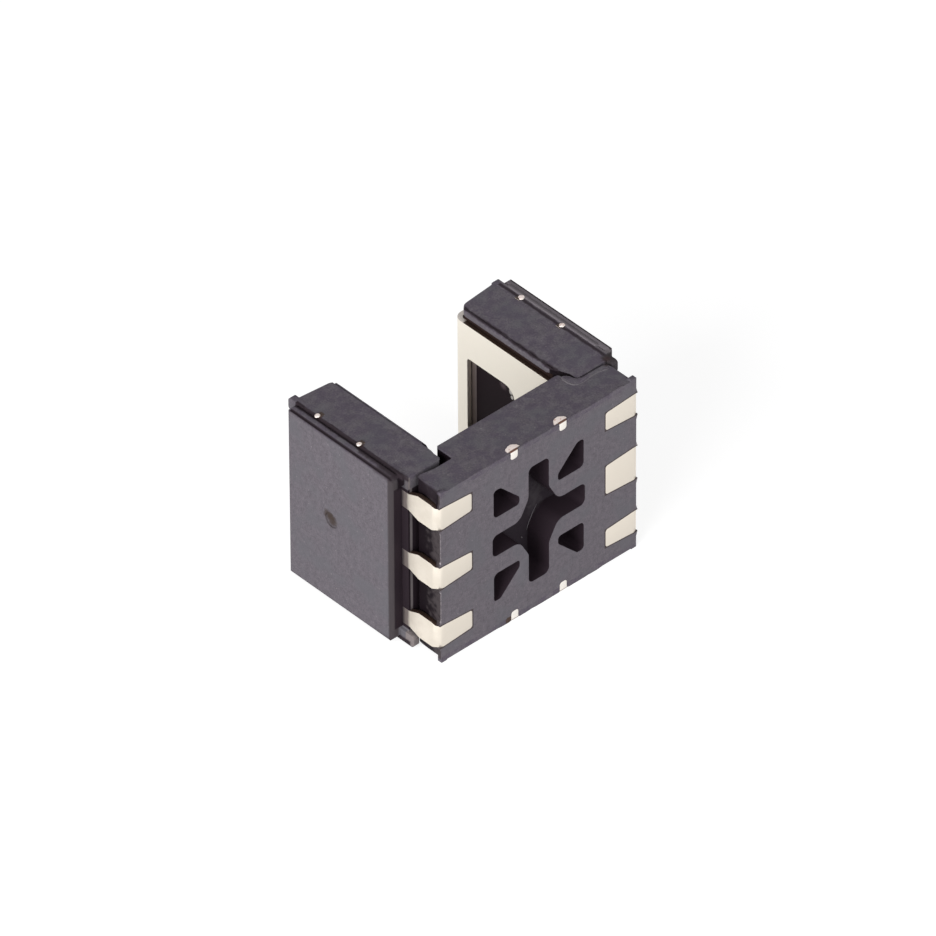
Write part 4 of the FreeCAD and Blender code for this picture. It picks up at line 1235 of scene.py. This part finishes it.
def parting_ridge(name, side, seed):
    """A low ridge of resin that fills the parting groove of the receiving arm."""
    chance = random.Random(seed)
    sections = []
    for index in range(RIDGE_STEPS + 1):
        y = RIDGE_FROM_Y + (RIDGE_TO_Y - RIDGE_FROM_Y) * index / RIDGE_STEPS
        lift = RIDGE_END_DROP
        if index not in (0, RIDGE_STEPS):
            lift = chance.uniform(-RIDGE_LIFT_WANDER, RIDGE_LIFT_WANDER)
        inner_x = RIDGE_INNER_X + chance.uniform(*RIDGE_SIDE_WANDER)
        sections.append([(x, y, side * z) for x, z in (
            (inner_x, RIDGE_FOOT_Z), (inner_x, RIDGE_INNER_Z + lift),
            (RIDGE_TOP_X, RIDGE_TOP_Z + lift), (RIDGE_OUTER_X, RIDGE_OUTER_Z + lift),
            (RIDGE_OUTER_X, RIDGE_FOOT_Z))])
    ribbon(name, sections, receiver_resin)


parting_ridge("receiver_upper_parting_ridge", side=1, seed=41)
parting_ridge("receiver_lower_parting_ridge", side=-1, seed=42)
print("2 ridges of", RIDGE_STEPS, "steps")

# %% [markdown]
# ## Debris on the pocket's floor
#
# A thread of pale resin and one crumb lie on the floor of the big pocket. Both are beads. Their
# paths lie only about a hundredth of a millimetre in front of the floor, so each is partly sunk
# into it and none seems to float.

# %% Thread and crumb
POCKET_THREAD = (
    (0.500, 0.594, -0.235), (0.445, 0.594, -0.315), (0.385, 0.594, -0.405), (0.335, 0.594, -0.495),
    (0.290, 0.594, -0.580), (0.255, 0.594, -0.665), (0.238, 0.594, -0.745),
)
POCKET_CRUMB = ((0.095, 0.590, -0.800), (0.115, 0.586, -0.825), (0.125, 0.590, -0.850))
THREAD_RADIUS, CRUMB_RADIUS = 0.010, 0.018
bead("pocket_foot", POCKET_THREAD, THREAD_RADIUS, ALONG_Y, seed=51, material=light_edge)
bead("pocket_crumb", POCKET_CRUMB, CRUMB_RADIUS, ALONG_Y, seed=53, material=light_edge)
print("thread of", len(POCKET_THREAD), "points and crumb of", len(POCKET_CRUMB))

# %% [markdown]
# ## Smeared tin above the base's tie bars
#
# The shear pushed a little tin up over the long edge of the base. It sits in the nick as a small
# half round plate, and a brown line of bare copper parts it from the silver end in the solder face.

# %% Smears
SMEAR_RADIUS = 0.150
SMEAR_HEIGHT = 0.135
SMEAR_FROM_Y = 0.034
SMEAR_POINTS = 12
SMEAR_WANDER = 0.07
SMEAR_BACK_Z, SMEAR_FACE_Z = 1.93, 1.995
SMEARS = (
    # name, centre along X, side, seed
    ("upper_right_smear", 0.575, 1, 61),
    ("upper_left_smear", -0.590, 1, 62),
    ("lower_right_smear", 0.580, -1, 63),
    ("lower_left_smear", -0.580, -1, 64),
)


def smear(name, centre_x, side, seed):
    """An uneven half round plate in the nick above one tie bar."""
    chance = random.Random(seed)
    outline = []
    for index in range(SMEAR_POINTS + 1):
        turn = math.pi * index / SMEAR_POINTS
        reach = 1 + chance.uniform(-SMEAR_WANDER, SMEAR_WANDER)
        outline.append((centre_x + SMEAR_RADIUS * reach * math.cos(turn),
                        SMEAR_FROM_Y + SMEAR_HEIGHT * reach * math.sin(turn)))
    low_z, high_z = sorted((side * SMEAR_BACK_Z, side * SMEAR_FACE_Z))
    slab(name, outline, low_z, high_z, burr_metal)


for row in SMEARS:
    smear(*row)
print(len(SMEARS), "smears")

# %% [markdown]
# ## Floor and background
#
# The photograph has a pure white background. The world is white where the camera or a reflection
# sees it, and dimmer where it only lights the part. The floor glows just enough to look white and
# is grey paper besides, so the part's shadow still shows on it. Turning the lamps up instead would
# wash out the part itself.

# %% Floor and world
FLOOR_SIZE = 400 * MM
AMBIENT = 0.38
FLOOR_GLOW = 0.80
FLOOR_SEEN = (0.36, 0.36, 0.36, 1)
FLOOR_PAPER = (0.90, 0.90, 0.90, 1)


def seen_directly(tree):
    """1 for camera, glossy and transmission rays, 0 for rays that carry light."""
    path = tree.nodes.new("ShaderNodeLightPath")
    total = maths(tree, "MAXIMUM", path.outputs["Is Camera Ray"], path.outputs["Is Glossy Ray"])
    return maths(tree, "MAXIMUM", total, path.outputs["Is Transmission Ray"])


def floor_material(name):
    """White to the eye with the part's shadow on it, plain pale paper to the light."""
    material = bpy.data.materials.new(name)
    tree, output = empty_tree(material, "ShaderNodeOutputMaterial")
    paper, seen = [tree.nodes.new("ShaderNodeBsdfDiffuse") for _ in range(2)]
    paper.inputs["Color"].default_value = FLOOR_PAPER
    seen.inputs["Color"].default_value = FLOOR_SEEN
    glow = tree.nodes.new("ShaderNodeEmission")
    glow.inputs["Strength"].default_value = FLOOR_GLOW
    both, mix = tree.nodes.new("ShaderNodeAddShader"), tree.nodes.new("ShaderNodeMixShader")
    tree.links.new(seen.outputs["BSDF"], both.inputs[0])
    tree.links.new(glow.outputs["Emission"], both.inputs[1])
    tree.links.new(seen_directly(tree), mix.inputs["Fac"])
    tree.links.new(paper.outputs["BSDF"], mix.inputs[1])
    tree.links.new(both.outputs["Shader"], mix.inputs[2])
    tree.links.new(mix.outputs["Shader"], output.inputs["Surface"])
    return material


def make_floor():
    """A pale floor under the part."""
    mesh = bpy.data.meshes.new("floor")
    half, level = FLOOR_SIZE / 2, cad_box[0][2]
    outline = (-half, -half), (half, -half), (half, half), (-half, half)
    corners = [(x, y, level) for x, y in outline]
    mesh.from_pydata(corners, [], [(0, 1, 2, 3)])
    mesh.materials.append(floor_material("floor_paper"))
    floor = bpy.data.objects.new("floor", mesh)
    bpy.context.scene.collection.objects.link(floor)


def make_world():
    """White where it is seen, a plain dim light everywhere else."""
    world = bpy.data.worlds.new("studio")
    tree, output = empty_tree(world, "ShaderNodeOutputWorld")
    sky = tree.nodes.new("ShaderNodeBackground")
    level = ramp(tree, seen_directly(tree), 0.0, 1.0, AMBIENT, 1.0)
    link(tree, level, sky.inputs["Strength"])
    tree.links.new(sky.outputs["Background"], output.inputs["Surface"])
    bpy.context.scene.world = world


make_floor()
make_world()
print("floor at mm:", round(cad_box[0][2] / MM, 3), "ambient", AMBIENT)

# %% [markdown]
# ## Soft light
#
# Two soft boxes stand low at the left and at the front, because in the photograph the upright
# faces are brighter than the top. They are large for their distance, which gives soft shadows and
# no hot spots. The level of a lamp is the brightness of a white surface that faces it, and the
# power is worked out from that.

# %% Soft boxes
LAMP_DISTANCE = 120 * MM
LAMP_SIZE = 80 * MM
AIM = Vector((0, 1.5 * MM, 0))
SOFT_BOXES = (
    ("left_box", (-0.88, -0.20, 0.40), 0.98),
    ("front_box", (-0.05, -0.93, 0.30), 0.48),
)


def soft_box(name, direction, level):
    """A square lamp that lights a surface facing it by the given level, where 1 is full white."""
    lamp = bpy.data.lights.new(name, "AREA")
    lamp.size = LAMP_SIZE
    lamp.energy = level * (math.pi * LAMP_DISTANCE) ** 2
    towards = Vector(direction).normalized()
    obj = bpy.data.objects.new(name, lamp)
    obj.location = AIM + towards * LAMP_DISTANCE
    obj.rotation_euler = towards.to_track_quat("Z", "Y").to_euler()
    bpy.context.scene.collection.objects.link(obj)


for name, direction, level in SOFT_BOXES:
    soft_box(name, direction, level)
    print(name, "level", level)

bpy.context.scene.view_settings.view_transform = "Standard"
